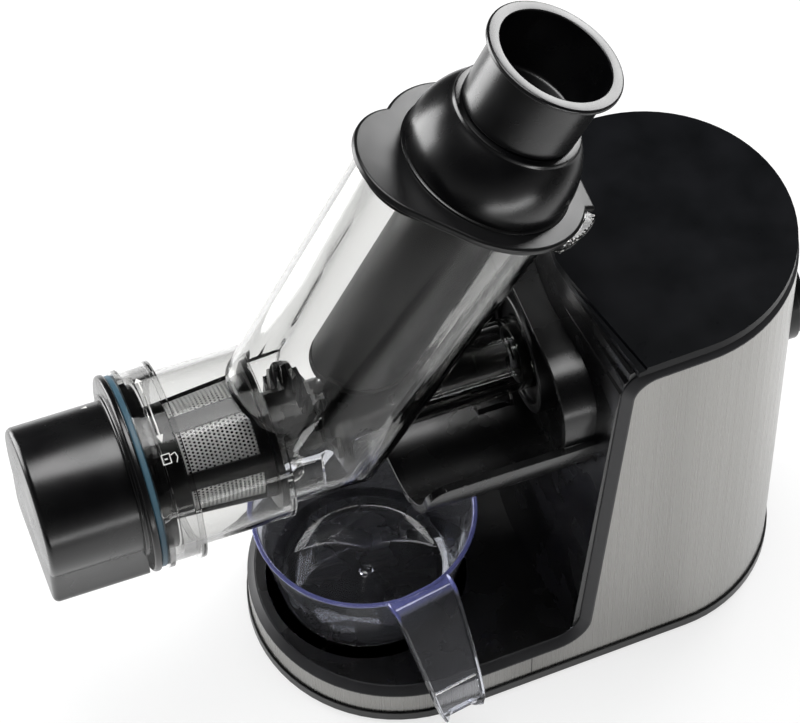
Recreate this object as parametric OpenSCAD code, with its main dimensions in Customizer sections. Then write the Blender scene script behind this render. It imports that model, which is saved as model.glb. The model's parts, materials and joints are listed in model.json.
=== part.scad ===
/*
  Horizontal cold press juicer.
  A juicing drum lies along X over the front deck and plugs into a motor tower.
  Fruit goes down a leaning chute, an auger presses it through a strainer cage,
  juice falls into the jug and pulp leaves through the end cap.
  Frame: origin on the surface it stands on, in the middle of the base;
  +X to the motor tower, -X to the end cap, +Z up. Millimetres.
*/

/* [Body] */
// Half of the width of the base
half_w = 80; // [74:0.5:95]
// Distance from the origin forward to the centre of the front arc
front_x = 68; // [60:0.5:80]
// Radius of the front arc of the base
front_r = 85.5; // [80:0.5:95]
// Distance from the origin back to the centre of the rear arc
rear_x = 73; // [66:0.5:85]
// Height of the body to the top cover
body_h = 280; // [272:1:300]
// Height of the rubber feet
foot_h = 2; // [1:0.5:4]
// Height of the black base pan above the feet
pan_h = 7; // [6:0.5:10]
// Height of the steel band round the front deck
band_h = 26; // [24:0.5:30]
// Distance from the top of the body down to the top edge of the steel wrap
steel_drop = 12; // [10:0.5:16]
// Thickness of the steel wrap
steel_t = 0.8; // [0.5:0.1:1.2]
// Wall of the plastic housings
wall = 2.5; // [2:0.1:3.5]

/* [Drum] */
// Distance from the top of the body down to the drum axis
axis_drop = 75; // [72:0.5:78]
// Outer radius of the drum barrel
barrel_r = 47; // [45:0.5:50]
// Step from the drum barrel in to the feed chamber below the chute
chamber_step = 6; // [5:0.5:8]
// Wall of the clear drum
drum_wall = 2.8; // [2:0.1:3.5]
// Outer radius of the drum neck
neck_r = 20; // [18:0.5:22]
// Thickness that the twist ring adds to the barrel at its open end
ring_over = 4; // [3.5:0.5:6]
// Distance forward to the open end of the drum
mouth_x = 208; // [204:1:214]
// Length of the twist ring
ring_len = 20; // [16:1:24]
// Distance forward to the shoulder between barrel and feed chamber
shoulder_x = 140; // [136:1:144]

/* [Chute and lid] */
// Lean of the chute from upright
chute_tilt = 27; // [24:0.5:30]
// Height of the rim of the pusher cup above the drum axis
cup_rise = 243.2; // [236:0.1:250]
// Distance of the cup rim behind the origin
cup_x = 18.6; // [14:0.1:24]
// Outer radius of the round part of the chute
chute_r = 47; // [45:0.5:47]
// Radius of the nose of the chute
nose_r = 30; // [26:0.5:32]
// Distance between the centres of the round part and the nose
nose_u = 36.5; // [32:0.5:40]
// Distance down the chute axis from the cup rim to the lid plate
lid_s = 78; // [76:0.5:82]
// Radius of the lid plate
lid_r = 55.5; // [53:0.5:58]
// Thickness of the lid plate
lid_t = 4; // [3:0.5:6]
// Radius of the dome on the lid
dome_r = 45; // [43:0.5:46]

/* [Pusher] */
// Outer radius of the pusher cup
cup_r = 31.5; // [30:0.5:33]
// Radius over the flange at the cup rim
cup_flange_r = 36.4; // [35:0.2:38]
// Depth of the cup on the dome
cup_depth = 41; // [39:0.5:43]
// Outer radius of the pusher tube
tube_r = 25.5; // [23:0.5:27]
// Height of the pusher's lower end above the drum axis
tube_end_rise = 44; // [42:1:60]

/* [End cap] */
// Step from the drum barrel in to the end cap
cap_step = 6.4; // [5:0.2:8]
// Length of the end cap in front of its flange
cap_len = 52; // [46:1:58]
// Reach of the flange of the end cap past the barrel
cap_flange_over = 6; // [5:0.5:8]
// Step from the side of the end cap in to the side of the pulp spout
spout_step = 4.6; // [4:0.2:7]
// Depth of the pulp spout below the drum axis
spout_drop = 50; // [47:1:54]

/* [Auger and strainer] */
// Outer radius of the strainer at its front end
strainer_r1 = 30; // [28.5:0.5:31]
// Outer radius of the strainer at its rear end
strainer_r2 = 34; // [33:0.5:35]
// Width of the closed band round the strainer's front end
cage_band = 14; // [11:0.5:16]
// Width of the bars between the strainer's windows
cage_bar_w = 9; // [7:0.5:11]
// Radius of the auger thread in the feed chamber
auger_r = 33.5; // [32:0.5:34]
// Pitch of the auger thread
auger_pitch = 42; // [36:1:50]
// Width of the thread along the axis
thread_w = 9; // [7:0.5:12]

/* [Cradle] */
// Outer radius of the cradle under the drum
cradle_r = 66; // [64:0.5:68]
// Wall of the cradle
cradle_wall = 4.5; // [3:0.5:6]
// Distance from the drum axis down to the rim of the cradle
cradle_drop = 5; // [2:0.5:9]
// Distance forward to the tip of the cradle
cradle_x = 72; // [68:1:76]
// Distance behind the origin to the front edge of the hood
hood_x = 5; // [3:0.5:8]
// Half of the width of the hood
hood_half_w = 57.5; // [56:0.5:60]
// Height of the hood above the drum axis
hood_rise = 33.5; // [32:0.5:38]

/* [Jug] */
// Distance forward to the axis of the jug
jug_x = 86.2; // [84:0.2:90]
// Outer radius of the jug at its rim
jug_r = 62.5; // [58:0.5:64]
// Height of the rim of the jug
jug_top = 98; // [90:1:102]
// Outer radius of the jug at its base
jug_base_r = 49; // [46:0.5:51]
// Wall of the jug
jug_wall = 2.4; // [2:0.1:3]
// Radius of the recess in the deck
recess_r = 56.5; // [55:0.5:60]
// Depth of the recess in the deck
recess_d = 3.5; // [3:0.5:4]
// Turn of the jug handle from the +X direction
handle_turn = -80; // [-95:1:-60]

/* [Drive] */
// Tooth module of the motor stage
mod_a = 1.5; // [1.4:0.05:1.6]
// Tooth module of the output stage
mod_b = 2; // [1.9:0.05:2.05]
// Teeth of each pinion
pinion_z = 14; // [14:1:16]
// Teeth of the intermediate wheel
wheel_a_z = 46; // [44:2:48]
// Teeth of the output wheel
wheel_b_z = 48; // [46:2:48]
// Radius of the motor can
motor_r = 35; // [33:0.5:37]
// Radius of the motor shaft
motor_shaft_r = 4; // [3:0.5:5]
// Radius of the output shaft
shaft_r = 7; // [6:0.5:8]
// Width over the flats of the hexagonal drive
hex_af = 15; // [14:0.5:16]
// Radius of the speed knob
knob_r = 26.5; // [24:0.5:28]
// How far the axis of the speed knob lies below the top of the tower
knob_drop = 90; // [84:1:94]

/* [Fits] */
// Radial clearance of a running fit
run_gap = 0.1; // [0.05:0.01:0.15]
// Gap between faces that slide past each other
slide_gap = 0.3; // [0.25:0.01:0.4]
// Play between gear flanks
backlash = 0.3; // [0.2:0.02:0.4]

/* [Hidden] */
$fn = 64;

// Overrun of a cut past the faces it goes through
over = 1;
// Reach of a tool that cuts everything on its side
far = 4 * half_w;

// Steps in each arc of the base outline
outline_steps = 36;

// Levels that follow the height of the body, and radii that follow the barrel
steel_top = body_h - steel_drop;
axis_z = body_h - axis_drop;
knob_z = body_h - knob_drop;
cradle_rim_z = axis_z - cradle_drop;
chamber_r = barrel_r - chamber_step;
ring_r = barrel_r + ring_over;
cap_r = barrel_r - cap_step;
cap_flange_r = barrel_r + cap_flange_over;
spout_half_w = cap_r - spout_step;

// Body levels and offsets from the base outline
pan_top = foot_h + pan_h;
pan_floor = foot_h + wall;
steel_out = 1.2;
house_out = steel_out + steel_t + run_gap;
house_in = house_out + wall;
trim_deep = 3.9;
trim_in = house_out + trim_deep;
trim_rise = 5.5;
deck_z = band_h + trim_rise;
cover_t = 6;
cover_z = body_h - cover_t;

// The swoop where the steel wrap ends, as seen from the side
swoop_foot_x = 18.1;
swoop_foot_z = 52;
swoop_head_x = 34;
swoop_foot_r = 20;
swoop_head_r = 14;
swoop_head_z = steel_top - swoop_head_r;

// Front wall of the tower
front_nose_x = 19;
front_slope_share = 0.095;
front_lean_share = 0.088;
front_drop = 37;
front_ref_z = body_h - front_drop;
prow_nose_x = 22;
prow_slope_share = 0.25;
nose_flat = 14;
roll_h = 35;
roll_start_z = body_h - roll_h;

// Drum and cap stations along the axis, counted forward from the origin
ring_x = mouth_x - ring_len;
ring_lip = 2.2;
ring_lip_len = 3;
barrel_in = barrel_r - drum_wall;
chamber_in = chamber_r - drum_wall;
neck_wall = 4;
neck_in = neck_r - neck_wall;
neck_end = 10;
gasket_t = 4;
flange_t = 4;
cap_x = mouth_x + gasket_t + flange_t;
cap_end = cap_x + cap_len;
lug_len = 4;
groove_x = mouth_x - lug_len;
groove_wall = 3.2;
groove_r = ring_r - groove_wall;
lug_arc = 34;
lug_play = 4;

// Cup rim, lid and pusher stations, counted down the chute axis
cup_z = axis_z + cup_rise;
collar_r = 34;
dome_lift = 6;
dome_s = lid_s - dome_lift;
dome_wall = 3;
tube_end_s = (cup_rise - tube_end_rise) / cos(chute_tilt);
tube_wall = 2;
skirt_h = 9;

// Strainer and auger stations
cage_t = 2.2;
screen_t = 0.5;
cage_flange_t = 3;
cage_bars = 6;
strainer_rear = shoulder_x + cage_flange_t;
strainer_front = mouth_x - 2 * cage_flange_t;
auger_rear = 76;
rear_thread_r = 21;
rear_thread_run = 20;
stem_r = 13;
stem_end = 6;
journal_r = 6;
core_r1 = 17;
core_r2 = 24;
tip_r = 19;
hex_tip = 34;
hex_root = 4;

// Drive train stations behind the origin
case_x = 36;
case_wall = 4;
stage_b_x = case_x + case_wall + 1;
stage_b_w = 13;
stage_a_x = stage_b_x + stage_b_w + 4;
stage_a_w = 8;
case_back = stage_a_x + stage_a_w + 4;
centre_a = mod_a * (pinion_z + wheel_a_z) / 2;
centre_b = mod_b * (pinion_z + wheel_b_z) / 2;
mid_z = axis_z - centre_b;
motor_z = mid_z - centre_a;
axle_r = 4;
motor_x = case_back + case_wall;
bell_t = 5;
motor_room = 22;
motor_len = rear_x + half_w - motor_room - motor_x - bell_t;
rotor_r = 19;
rotor_gap = 0.6;
hub_b_r = 15;
bearing_r = 14;
bearing_w = 6;

// Knob stations
knob_face = rear_x + half_w - steel_out;
bezel_t = 1.6;
bezel_r = knob_r + 2.5;
knob_t = 4.5;
knob_grip = 3;
knob_stem_r = 4;

// Points of an arc from angle a0 to a1 about a centre
function arc_points(cx, cy, r, a0, a1, n) =
  [for (i = [0:n]) let (a = a0 + (a1 - a0) * i / n) [cx + r * cos(a), cy + r * sin(a)]];

// Base outline: a front arc and a rear arc joined by their common tangents
module base_outline(inset) {
  turn = acos((front_r - half_w) / (front_x + rear_x));
  polygon(concat(
    arc_points(rear_x, 0, half_w - inset, -turn, turn, outline_steps),
    arc_points(-front_x, 0, front_r - inset, turn, 360 - turn, outline_steps)));
}

module slab(inset, z0, z1) {
  translate([0, 0, z0]) linear_extrude(z1 - z0) base_outline(inset);
}

module shell(outer, inner, z0, z1) {
  difference() {
    slab(outer, z0, z1);
    slab(inner, z0 - over, z1 + over);
  }
}

// Side view of the space that the steel leaves open, grown by a width
module swoop_side(grow) {
  run = swoop_head_x - swoop_foot_x;
  rise = swoop_head_z - swoop_foot_z;
  lean = atan(run / rise);
  foot_z = band_h + swoop_foot_r;
  foot_x = swoop_foot_x - (swoop_foot_z - foot_z) * tan(lean) - swoop_foot_r;
  top = far + steel_top;
  polygon(concat(
    [[-far, top], [-far, band_h + grow]],
    arc_points(foot_x, foot_z, swoop_foot_r - grow, -90, -lean, 8),
    arc_points(swoop_head_x + swoop_head_r, swoop_head_z, swoop_head_r + grow, 180 - lean, 90, 8),
    [[far, steel_top + grow], [far, top]]));
}

module along_y(y0, y1) {
  translate([0, y1, 0]) rotate([90, 0, 0]) linear_extrude(y1 - y0) children();
}

// Extrudes a YZ outline from x0 to x1
module along_x(x0, x1) {
  translate([x0, 0, 0]) rotate([90, 0, 90]) linear_extrude(x1 - x0) children();
}

module rod(r, x0, x1) {
  translate([x0, 0, 0]) rotate([0, 90, 0]) cylinder(r = r, h = x1 - x0);
}

module cone(r0, x0, r1, x1) {
  translate([x0, 0, 0]) rotate([0, 90, 0]) cylinder(r1 = r0, r2 = r1, h = x1 - x0);
}

module tube(ro, ri, x0, x1) {
  difference() {
    rod(ro, x0, x1);
    rod(ri, x0 - over, x1 + over);
  }
}

module on_axis(z) {
  translate([0, 0, z]) children();
}

// Everything behind the front wall of the tower, moved back by a wall
module behind_front(back) {
  shares = [0, 0.001, 0.35, 0.6, 0.8, 0.93, 1];
  levels = [for (t = shares) t == 0 ? foot_h - over : roll_start_z + (body_h - roll_start_z) * t];
  ys = [-far, -nose_flat, 0, nose_flat, far];
  function wall_x(y, z) = front_nose_x + front_slope_share * max(abs(y), nose_flat / 2)
    - front_lean_share * (front_ref_z - z);
  function top_x(y) = prow_nose_x + prow_slope_share * max(abs(y) - nose_flat / 4, 0);
  function blend(z) = let (t = max(0, (z - roll_start_z) / (body_h - roll_start_z)))
    1 - sqrt(max(0, 1 - t * t));
  function front(y, z) = wall_x(y, z) + (top_x(y) - wall_x(y, body_h)) * blend(z) + back;
  n = len(ys) + 2;
  points = [for (z = levels) each concat(
    [for (y = ys) [front(y, z), y, z]], [[far, far, z], [far, -far, z]])];
  sides = [for (k = [0:len(levels) - 2]) for (i = [0:n - 1])
    let (a = k * n + i, b = k * n + (i + 1) % n) each [[a, b, a + n], [b, b + n, a + n]]];
  bottom = [[for (i = [n - 1:-1:0]) i]];
  top = [[for (i = [0:n - 1]) (len(levels) - 1) * n + i]];
  polyhedron(points = points, faces = concat(sides, bottom, top));
}

// Places children in the frame of the chute, Z up its axis, a way down from the cup rim
module on_chute(s) {
  translate([cup_x, 0, cup_z]) rotate([0, chute_tilt, 0]) translate([0, 0, -s]) children();
}

// Section of the chute: a circle and a smaller nose joined by tangents
module keyhole(r1, r2) {
  turn = acos((r2 - r1) / nose_u);
  polygon(concat(
    arc_points(0, 0, r1, -turn, turn, outline_steps),
    arc_points(-nose_u, 0, r2, turn, 360 - turn, outline_steps)));
}

// Involute gear outline
function involute(r, rb) = let (a = acos(rb / r)) tan(a) * 180 / PI - a;
function flank(z, m, r) = let (rp = m * z / 2, rb = rp * cos(20))
  90 / z + involute(rp, rb) - involute(max(r, rb), rb) - backlash / 2 / rp * 180 / PI;
function gear_points(z, m, tip_share) = let (
    rp = m * z / 2,
    rb = rp * cos(20),
    rf = rp - 1.25 * m,
    ra = rp + tip_share * m,
    low = max(rf, rb),
    radii = [for (t = flank_steps_share) low + (ra - low) * t])
  [for (i = [0:z - 1]) let (c = 360 / z * i) each concat(
    [rf * [cos(c - flank(z, m, low)), sin(c - flank(z, m, low))]],
    [for (r = radii) r * [cos(c - flank(z, m, r)), sin(c - flank(z, m, r))]],
    [for (k = [3:-1:0]) let (r = radii[k]) r * [cos(c + flank(z, m, r)), sin(c + flank(z, m, r))]],
    [rf * [cos(c + flank(z, m, low)), sin(c + flank(z, m, low))]])];
wheel_tip_share = 0.8;
pinion_tip_share = 1;
flank_steps_share = [0, 0.35, 0.7, 1];

// Base pan, feet and deck

foot_r = 9;
foot_seat = 1.2;
foot_rear_x = 105;
foot_side_y = 44;
foot_spots = concat([[0, 0]], [for (x = [-front_x - front_r / 2, foot_rear_x])
  for (y = [-foot_side_y, foot_side_y]) [x, y]]);
boss_r = 5;
screw_r = 2;
screw_spots = [[-front_x - front_r + 4 * boss_r, 0], [rear_x + half_w - 4 * boss_r, 0],
  [rear_x, half_w - 4 * boss_r], [rear_x, -half_w + 4 * boss_r]];
vent_w = 4;
vent_len = 36;
vent_count = 8;

module base_pan() {
  color("#1b1b1d") difference() {
    union() {
      difference() {
        slab(0, foot_h, pan_top);
        slab(trim_in, pan_floor, pan_top + over);
      }
      for (p = screw_spots) translate([p.x, p.y, pan_floor - over]) cylinder(r = boss_r, h = pan_top - pan_floor + over);
    }
    for (p = foot_spots) translate([p.x, p.y, foot_h - over]) cylinder(r = foot_r, h = over + foot_seat);
    for (p = screw_spots) {
      translate([p.x, p.y, foot_h - over]) cylinder(r = screw_r + run_gap, h = pan_h + 2 * over);
      translate([p.x, p.y, foot_h - over]) cylinder(r = 2 * screw_r + run_gap, h = over + screw_r);
    }
    for (k = [0:vent_count - 1])
      translate([rear_x + (k - vent_count / 2) * 2 * vent_w, -vent_len / 2, foot_h - over])
        cube([vent_w, vent_len, wall + 2 * over]);
  }
}

module rubber_feet() {
  color("#2a2a2c") for (p = foot_spots)
    translate([p.x, p.y, 0]) cylinder(r = foot_r - run_gap, h = foot_h + foot_seat);
}

module pan_screws() {
  color("#b8b8ba") for (p = screw_spots) translate([p.x, p.y, foot_h]) {
    cylinder(r = 2 * screw_r, h = screw_r);
    cylinder(r = screw_r, h = pan_h + boss_r);
  }
}

module base_deck() {
  color("#202022") difference() {
    union() {
      difference() {
        union() {
          slab(trim_in, pan_top, deck_z);
          slab(house_out, band_h - wall, band_h);
        }
        slab(trim_in + wall, pan_top - over, deck_z - wall);
      }
      translate([-jug_x, 0, deck_z - recess_d - wall]) cylinder(r = recess_r + wall, h = recess_d + wall / 2);
      translate([screw_spots[0].x, 0, pan_top]) cylinder(r = boss_r, h = deck_z - pan_top - recess_d - wall / 2);
    }
    translate([-jug_x, 0, deck_z - recess_d]) cylinder(r = recess_r, h = recess_d + over);
    translate([screw_spots[0].x, 0, pan_top - over]) cylinder(r = screw_r, h = boss_r + 2 * over);
    behind_front(0);
  }
}

inlet_z = 40;
inlet_r = 7;

module rear_ports() {
  translate([0, 0, knob_z]) rod(knob_stem_r + 2 * slide_gap, rear_x, knob_face + over);
  translate([0, 0, inlet_z]) rod(inlet_r, rear_x, knob_face + over);
}

module tower_housing() {
  color("#1c1c1e") {
    difference() {
      intersection() {
        union() {
          difference() {
            slab(house_out, pan_top, steel_top);
            along_y(-far, far) swoop_side(0);
          }
          slab(trim_in, pan_top, cover_z);
        }
        behind_front(0);
      }
      intersection() {
        union() {
          difference() {
            slab(house_in, pan_top - over, steel_top - wall);
            along_y(-far, far) swoop_side(-wall);
          }
          slab(trim_in + wall, pan_top - over, body_h);
        }
        behind_front(wall);
      }
      on_axis(axis_z) rod(collar_r, -far, case_x);
      rear_ports();
    }
    for (k = [1:3]) translate([screw_spots[k].x, screw_spots[k].y, pan_top]) difference() {
      union() {
        cylinder(r = boss_r, h = 2 * boss_r);
        rotate([0, 0, 90 * (k == 1 ? 0 : k == 2 ? 1 : 3)]) translate([0, -wall / 2, 0])
          cube([4 * boss_r - house_in + wall / 2, wall, 2 * boss_r]);
      }
      translate([0, 0, -over]) cylinder(r = screw_r, h = boss_r + 2 * over);
    }
  }
}

module steel_wrap() {
  color("#a9a9a6") difference() {
    shell(steel_out, steel_out + steel_t, pan_top, steel_top);
    along_y(-far, far) swoop_side(0);
    rear_ports();
  }
}

// The trim fills the step between the steel and the housing along the swoop
module edge_trim() {
  color("#3c3c3e") difference() {
    intersection() {
      shell(steel_out, trim_in, band_h, cover_z);
      along_y(-far, far) swoop_side(0);
    }
    along_y(-far, far) swoop_side(trim_rise);
  }
}

module top_cover() {
  color("#161719") intersection() {
    union() {
      slab(2 * steel_out, cover_z, body_h);
      intersection() {
        shell(trim_in + wall + run_gap, trim_in + 2 * wall, cover_z - 3 * wall, cover_z);
        behind_front(2 * wall);
      }
    }
    behind_front(0);
  }
}

// Cradle and hood that carry the drum in front of the tower

cradle_corner = 12;
hood_corner = 26;
collar_x = 12;

module cradle_side() {
  top = cradle_rim_z - axis_z;
  polygon(concat(
    [[case_x, -far], [case_x, top]],
    arc_points(cradle_corner - cradle_x, top - cradle_corner, cradle_corner, 90, 180, 6),
    [[-cradle_x, -far]]));
}

module hood_outline(inset) {
  w = hood_half_w - inset;
  h = hood_rise - inset;
  r = hood_corner - inset;
  polygon(concat(
    [[-w, -far], [w, -far]],
    arc_points(w - r, h - r, r, 0, 90, 10),
    arc_points(-w + r, h - r, r, 90, 180, 10)));
}

module drum_cradle() {
  color("#19191b") difference() {
    on_axis(axis_z) difference() {
      union() {
        intersection() {
          rod(cradle_r, -cradle_x, case_x);
          along_y(-far, far) cradle_side();
        }
        intersection() {
          along_x(hood_x, case_x) hood_outline(-cradle_wall);
          rod(cradle_r, 0, case_x);
        }
      }
      intersection() {
        rod(cradle_r - cradle_wall, -cradle_x - over, collar_x);
        union() {
          rod(cradle_r, -cradle_x - over, hood_x);
          along_x(-cradle_x - over, collar_x) hood_outline(0);
        }
      }
      rod(collar_r, 0, case_x);
    }
    behind_front(0);
  }
}

// The collar that locks the drum neck, fixed to the gear case
collar_front = 2;
collar_wall = 5;
lug_clear_x = 5;
seal_x = 28;

module coupling_collar() {
  color("#242426") on_axis(axis_z) difference() {
    rod(collar_r - run_gap, collar_front, case_x);
    rod(neck_r + slide_gap, 0, neck_end + slide_gap);
    rod(collar_r - collar_wall, 0, lug_clear_x);
    rod(bearing_r, seal_x, case_x + over);
    rod(shaft_r + slide_gap, 0, case_x);
  }
}

module shaft_seal() {
  color("#4f4f52") on_axis(axis_z) tube(bearing_r - run_gap / 2, shaft_r + run_gap / 2, seal_x, case_x);
}

// Drive train

module hexagon(af) {
  circle(r = af / sqrt(3), $fn = 6);
}

module output_shaft() {
  color("#b5b5b8") on_axis(axis_z) {
    along_x(-hex_tip, hex_root) hexagon(hex_af);
    rod(shaft_r, hex_root, case_back + case_wall / 2);
  }
}

module output_gear() {
  color("#d9d4c6") on_axis(axis_z) difference() {
    union() {
      along_x(stage_b_x, stage_b_x + stage_b_w) rotate(-90) polygon(gear_points(wheel_b_z, mod_b, wheel_tip_share));
      rod(hub_b_r, stage_b_x, case_back - over - bearing_w);
    }
    rod(shaft_r, stage_b_x - over, case_back);
  }
}

module output_bearings() {
  color("#9fa0a3") on_axis(axis_z) {
    tube(bearing_r - run_gap / 2, shaft_r + run_gap / 2, case_x, case_x + case_wall);
    tube(bearing_r - run_gap / 2, shaft_r + run_gap / 2, case_back - bearing_w + case_wall / 2, case_back + case_wall / 2);
  }
}

case_gap = 3;
case_out_r = mod_b * wheel_b_z / 2 + mod_b + case_gap + case_wall;
case_mid_r = mod_a * wheel_a_z / 2 + mod_a + case_gap + case_wall;
case_low_r = motor_r;
case_bolt_r = 2;
case_bolt_spots = [
  [case_out_r - case_wall, axis_z], [-case_out_r + case_wall, axis_z], [0, axis_z + case_out_r - case_wall],
  [case_mid_r - case_wall, mid_z - case_mid_r / 2], [-case_mid_r + case_wall, mid_z - case_mid_r / 2]];
case_ear_r = 6;

module case_outline(inset) {
  translate([0, axis_z]) circle(r = case_out_r - inset);
  translate([0, mid_z]) circle(r = case_mid_r - inset);
  translate([0, motor_z]) circle(r = case_low_r - inset);
}

module case_ears() {
  for (p = case_bolt_spots) translate([p.x, p.y]) circle(r = case_ear_r);
}

module gear_case_front() {
  color("#6e7073") difference() {
    union() {
      along_x(case_x, case_back) case_outline(0);
      along_x(case_x, case_back) case_ears();
    }
    along_x(case_x + case_wall, case_back + over) case_outline(case_wall);
    for (p = case_bolt_spots) translate([0, p.x, p.y]) rod(case_bolt_r, case_x + case_wall, case_back + over);
    on_axis(axis_z) rod(bearing_r, case_x - over, case_x + case_wall + over);
    on_axis(mid_z) rod(axle_r, case_x - over, case_x + case_wall + over);
  }
}

module gear_case_rear() {
  color("#66686b") difference() {
    union() {
      along_x(case_back, motor_x) case_outline(0);
      along_x(case_back, motor_x) case_ears();
      on_axis(axis_z) rod(bearing_r + case_wall, case_back - bearing_w + case_wall / 2, motor_x);
    }
    for (p = case_bolt_spots) translate([0, p.x, p.y])
      rod(case_bolt_r + run_gap, case_back - over, motor_x + over);
    on_axis(axis_z) rod(bearing_r, case_back - bearing_w, case_back + case_wall / 2);
    on_axis(mid_z) rod(axle_r, case_back - over, motor_x + over);
    on_axis(motor_z) rod(hub_b_r, case_back - over, motor_x + over);
  }
}

module gear_case_screws() {
  color("#b8b8ba") for (p = case_bolt_spots) translate([0, p.x, p.y]) {
    rod(case_bolt_r, case_back - 3 * case_wall, motor_x);
    rod(2 * case_bolt_r, motor_x, motor_x + case_bolt_r);
  }
}

module intermediate_axle() {
  color("#b5b5b8") on_axis(mid_z) rod(axle_r, case_x, motor_x);
}

module intermediate_gear() {
  color("#d9d4c6") on_axis(mid_z) difference() {
    union() {
      along_x(stage_b_x, stage_a_x) rotate(90 + 180 / pinion_z) polygon(gear_points(pinion_z, mod_b, pinion_tip_share));
      along_x(stage_a_x, stage_a_x + stage_a_w) rotate(180 / wheel_a_z - 90) polygon(gear_points(wheel_a_z, mod_a, wheel_tip_share));
    }
    rod(axle_r + run_gap, stage_b_x - over, case_back);
  }
}

motor_end = motor_x + bell_t + motor_len;
fan_t = 5;
fan_r = 27;
fan_hub_r = 8;
fan_blades = 9;
blade_t = 1.6;

module motor_pinion() {
  color("#b9a25c") on_axis(motor_z) difference() {
    along_x(stage_a_x, stage_a_x + stage_a_w) rotate(90) polygon(gear_points(pinion_z, mod_a, pinion_tip_share));
    rod(motor_shaft_r, stage_a_x - over, case_back);
  }
}

module motor_rotor() {
  color("#8d8f92") on_axis(motor_z) {
    rod(motor_shaft_r, stage_a_x, motor_end + fan_t + 2 * over);
    rod(rotor_r, motor_x + 2 * bell_t, motor_end - 2 * bell_t);
  }
}

module motor_end_bell() {
  color("#77797c") on_axis(motor_z) tube(motor_r, motor_shaft_r + run_gap, motor_x, motor_x + bell_t);
}

module motor_can() {
  color("#8a5a3a") on_axis(motor_z) difference() {
    rod(motor_r, motor_x + bell_t, motor_end);
    rod(rotor_r + rotor_gap, motor_x + bell_t - over, motor_end - bell_t);
    rod(motor_shaft_r + run_gap, motor_x, motor_end + over);
  }
}

module cooling_fan() {
  color("#2c2c2e") on_axis(motor_z) difference() {
    union() {
      rod(fan_hub_r, motor_end + over, motor_end + over + fan_t);
      for (k = [0:fan_blades - 1]) rotate([360 / fan_blades * k, 0, 0])
        translate([motor_end + over, -blade_t / 2, fan_hub_r / 2]) cube([fan_t, blade_t, fan_r - fan_hub_r / 2]);
    }
    rod(motor_shaft_r, motor_end, motor_end + 2 * fan_t);
  }
}

saddle_half = 24;

module motor_saddle() {
  color("#4a4c50") difference() {
    translate([motor_x + bell_t, -saddle_half, pan_floor])
      cube([motor_len - 2 * bell_t, 2 * saddle_half, motor_z - pan_floor - motor_r / 2]);
    on_axis(motor_z) rod(motor_r, motor_x, motor_end + over);
    translate([motor_x, -saddle_half + 2 * wall, pan_floor + 2 * wall])
      cube([motor_len + 2 * bell_t, 2 * saddle_half - 4 * wall, motor_z - pan_floor - motor_r - 4 * wall]);
  }
}

board_w = 50;
board_h = 42;
board_t = 1.6;
capacitor_h = 50;

module circuit_board() {
  color("#3f6b46") {
    translate([motor_x + bell_t, motor_r + case_wall, pan_floor]) cube([board_w, board_t, board_h]);
    for (k = [0:2]) translate([motor_x + 2 * bell_t + k * board_w / 4, motor_r + case_wall + board_t, pan_floor + board_h / 3])
      cube([board_w / 6, 3 * case_wall, board_h / 3]);
  }
}

module run_capacitor() {
  color("#c9c6bc") translate([motor_x + motor_len / 2, -half_w + house_in + 6 * case_wall, pan_floor])
    cylinder(r = 3 * case_wall, h = capacitor_h);
}

switch_len = 12;
switch_h = 11;

module interlock_switch() {
  color("#262628") translate([case_x - switch_h, -switch_len / 2, axis_z + collar_r + run_gap])
    cube([switch_h, switch_len, switch_h]);
}

rotary_w = 26;
rotary_len = 18;
rotary_seat = rear_x + half_w - house_in - 2 * over;

module rotary_switch() {
  color("#2d2d30") difference() {
    union() {
      translate([rotary_seat - rotary_len, -rotary_w / 2, knob_z - rotary_w / 2]) cube([rotary_len, rotary_w, rotary_w]);
      translate([0, 0, knob_z]) rod(2 * knob_stem_r, rotary_seat - over, rotary_seat + 1.2 * over);
    }
    translate([0, 0, knob_z]) rod(knob_stem_r + run_gap, rotary_seat - rotary_len / 2, knob_face);
  }
}

module knob_bezel() {
  color("#202022") difference() {
    translate([0, 0, knob_z]) rod(bezel_r, rear_x + half_w / 2, knob_face + bezel_t);
    slab(steel_out, pan_top, steel_top);
    translate([0, 0, knob_z]) rod(knob_stem_r + 2 * slide_gap, rear_x, knob_face + bezel_t + over);
  }
}

module speed_knob() {
  x = knob_face + bezel_t + slide_gap;
  color("#161618") translate([0, 0, knob_z]) {
    rod(knob_r, x, x + knob_t);
    rod(knob_stem_r, rotary_seat - rotary_len / 2 + over, x + over);
    intersection() {
      rod(knob_r - over, x, x + knob_t + knob_grip);
      translate([x, -knob_stem_r, -knob_r]) cube([knob_t + knob_grip, 2 * knob_stem_r, 2 * knob_r]);
    }
  }
}

module cord_inlet() {
  color("#232325") translate([0, 0, inlet_z]) difference() {
    union() {
      rod(inlet_r - run_gap, rear_x + half_w - 2 * house_in, knob_face + bezel_t);
      rod(inlet_r + wall, knob_face, knob_face + bezel_t);
    }
    rod(inlet_r / 2, rear_x, knob_face + 2 * bezel_t);
  }
}

// Drum

seal_t = 1.2;
chute_foot_r = chamber_r - 0.6;
web_share = 0.993;
chute_top_s = lid_s + lid_t + seal_t;
chute_foot_s = (cup_rise + 2 * chamber_r) / cos(chute_tilt);
nozzle_r = 9;
nozzle_x = shoulder_x - nozzle_r - drum_wall;
nozzle_h = 8;
neck_start = 80;
neck_lug_x0 = 26;
neck_lug_x1 = 6;
neck_lug_r = 27;
neck_lug_w = 9;
neck_lugs = 3;

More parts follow.
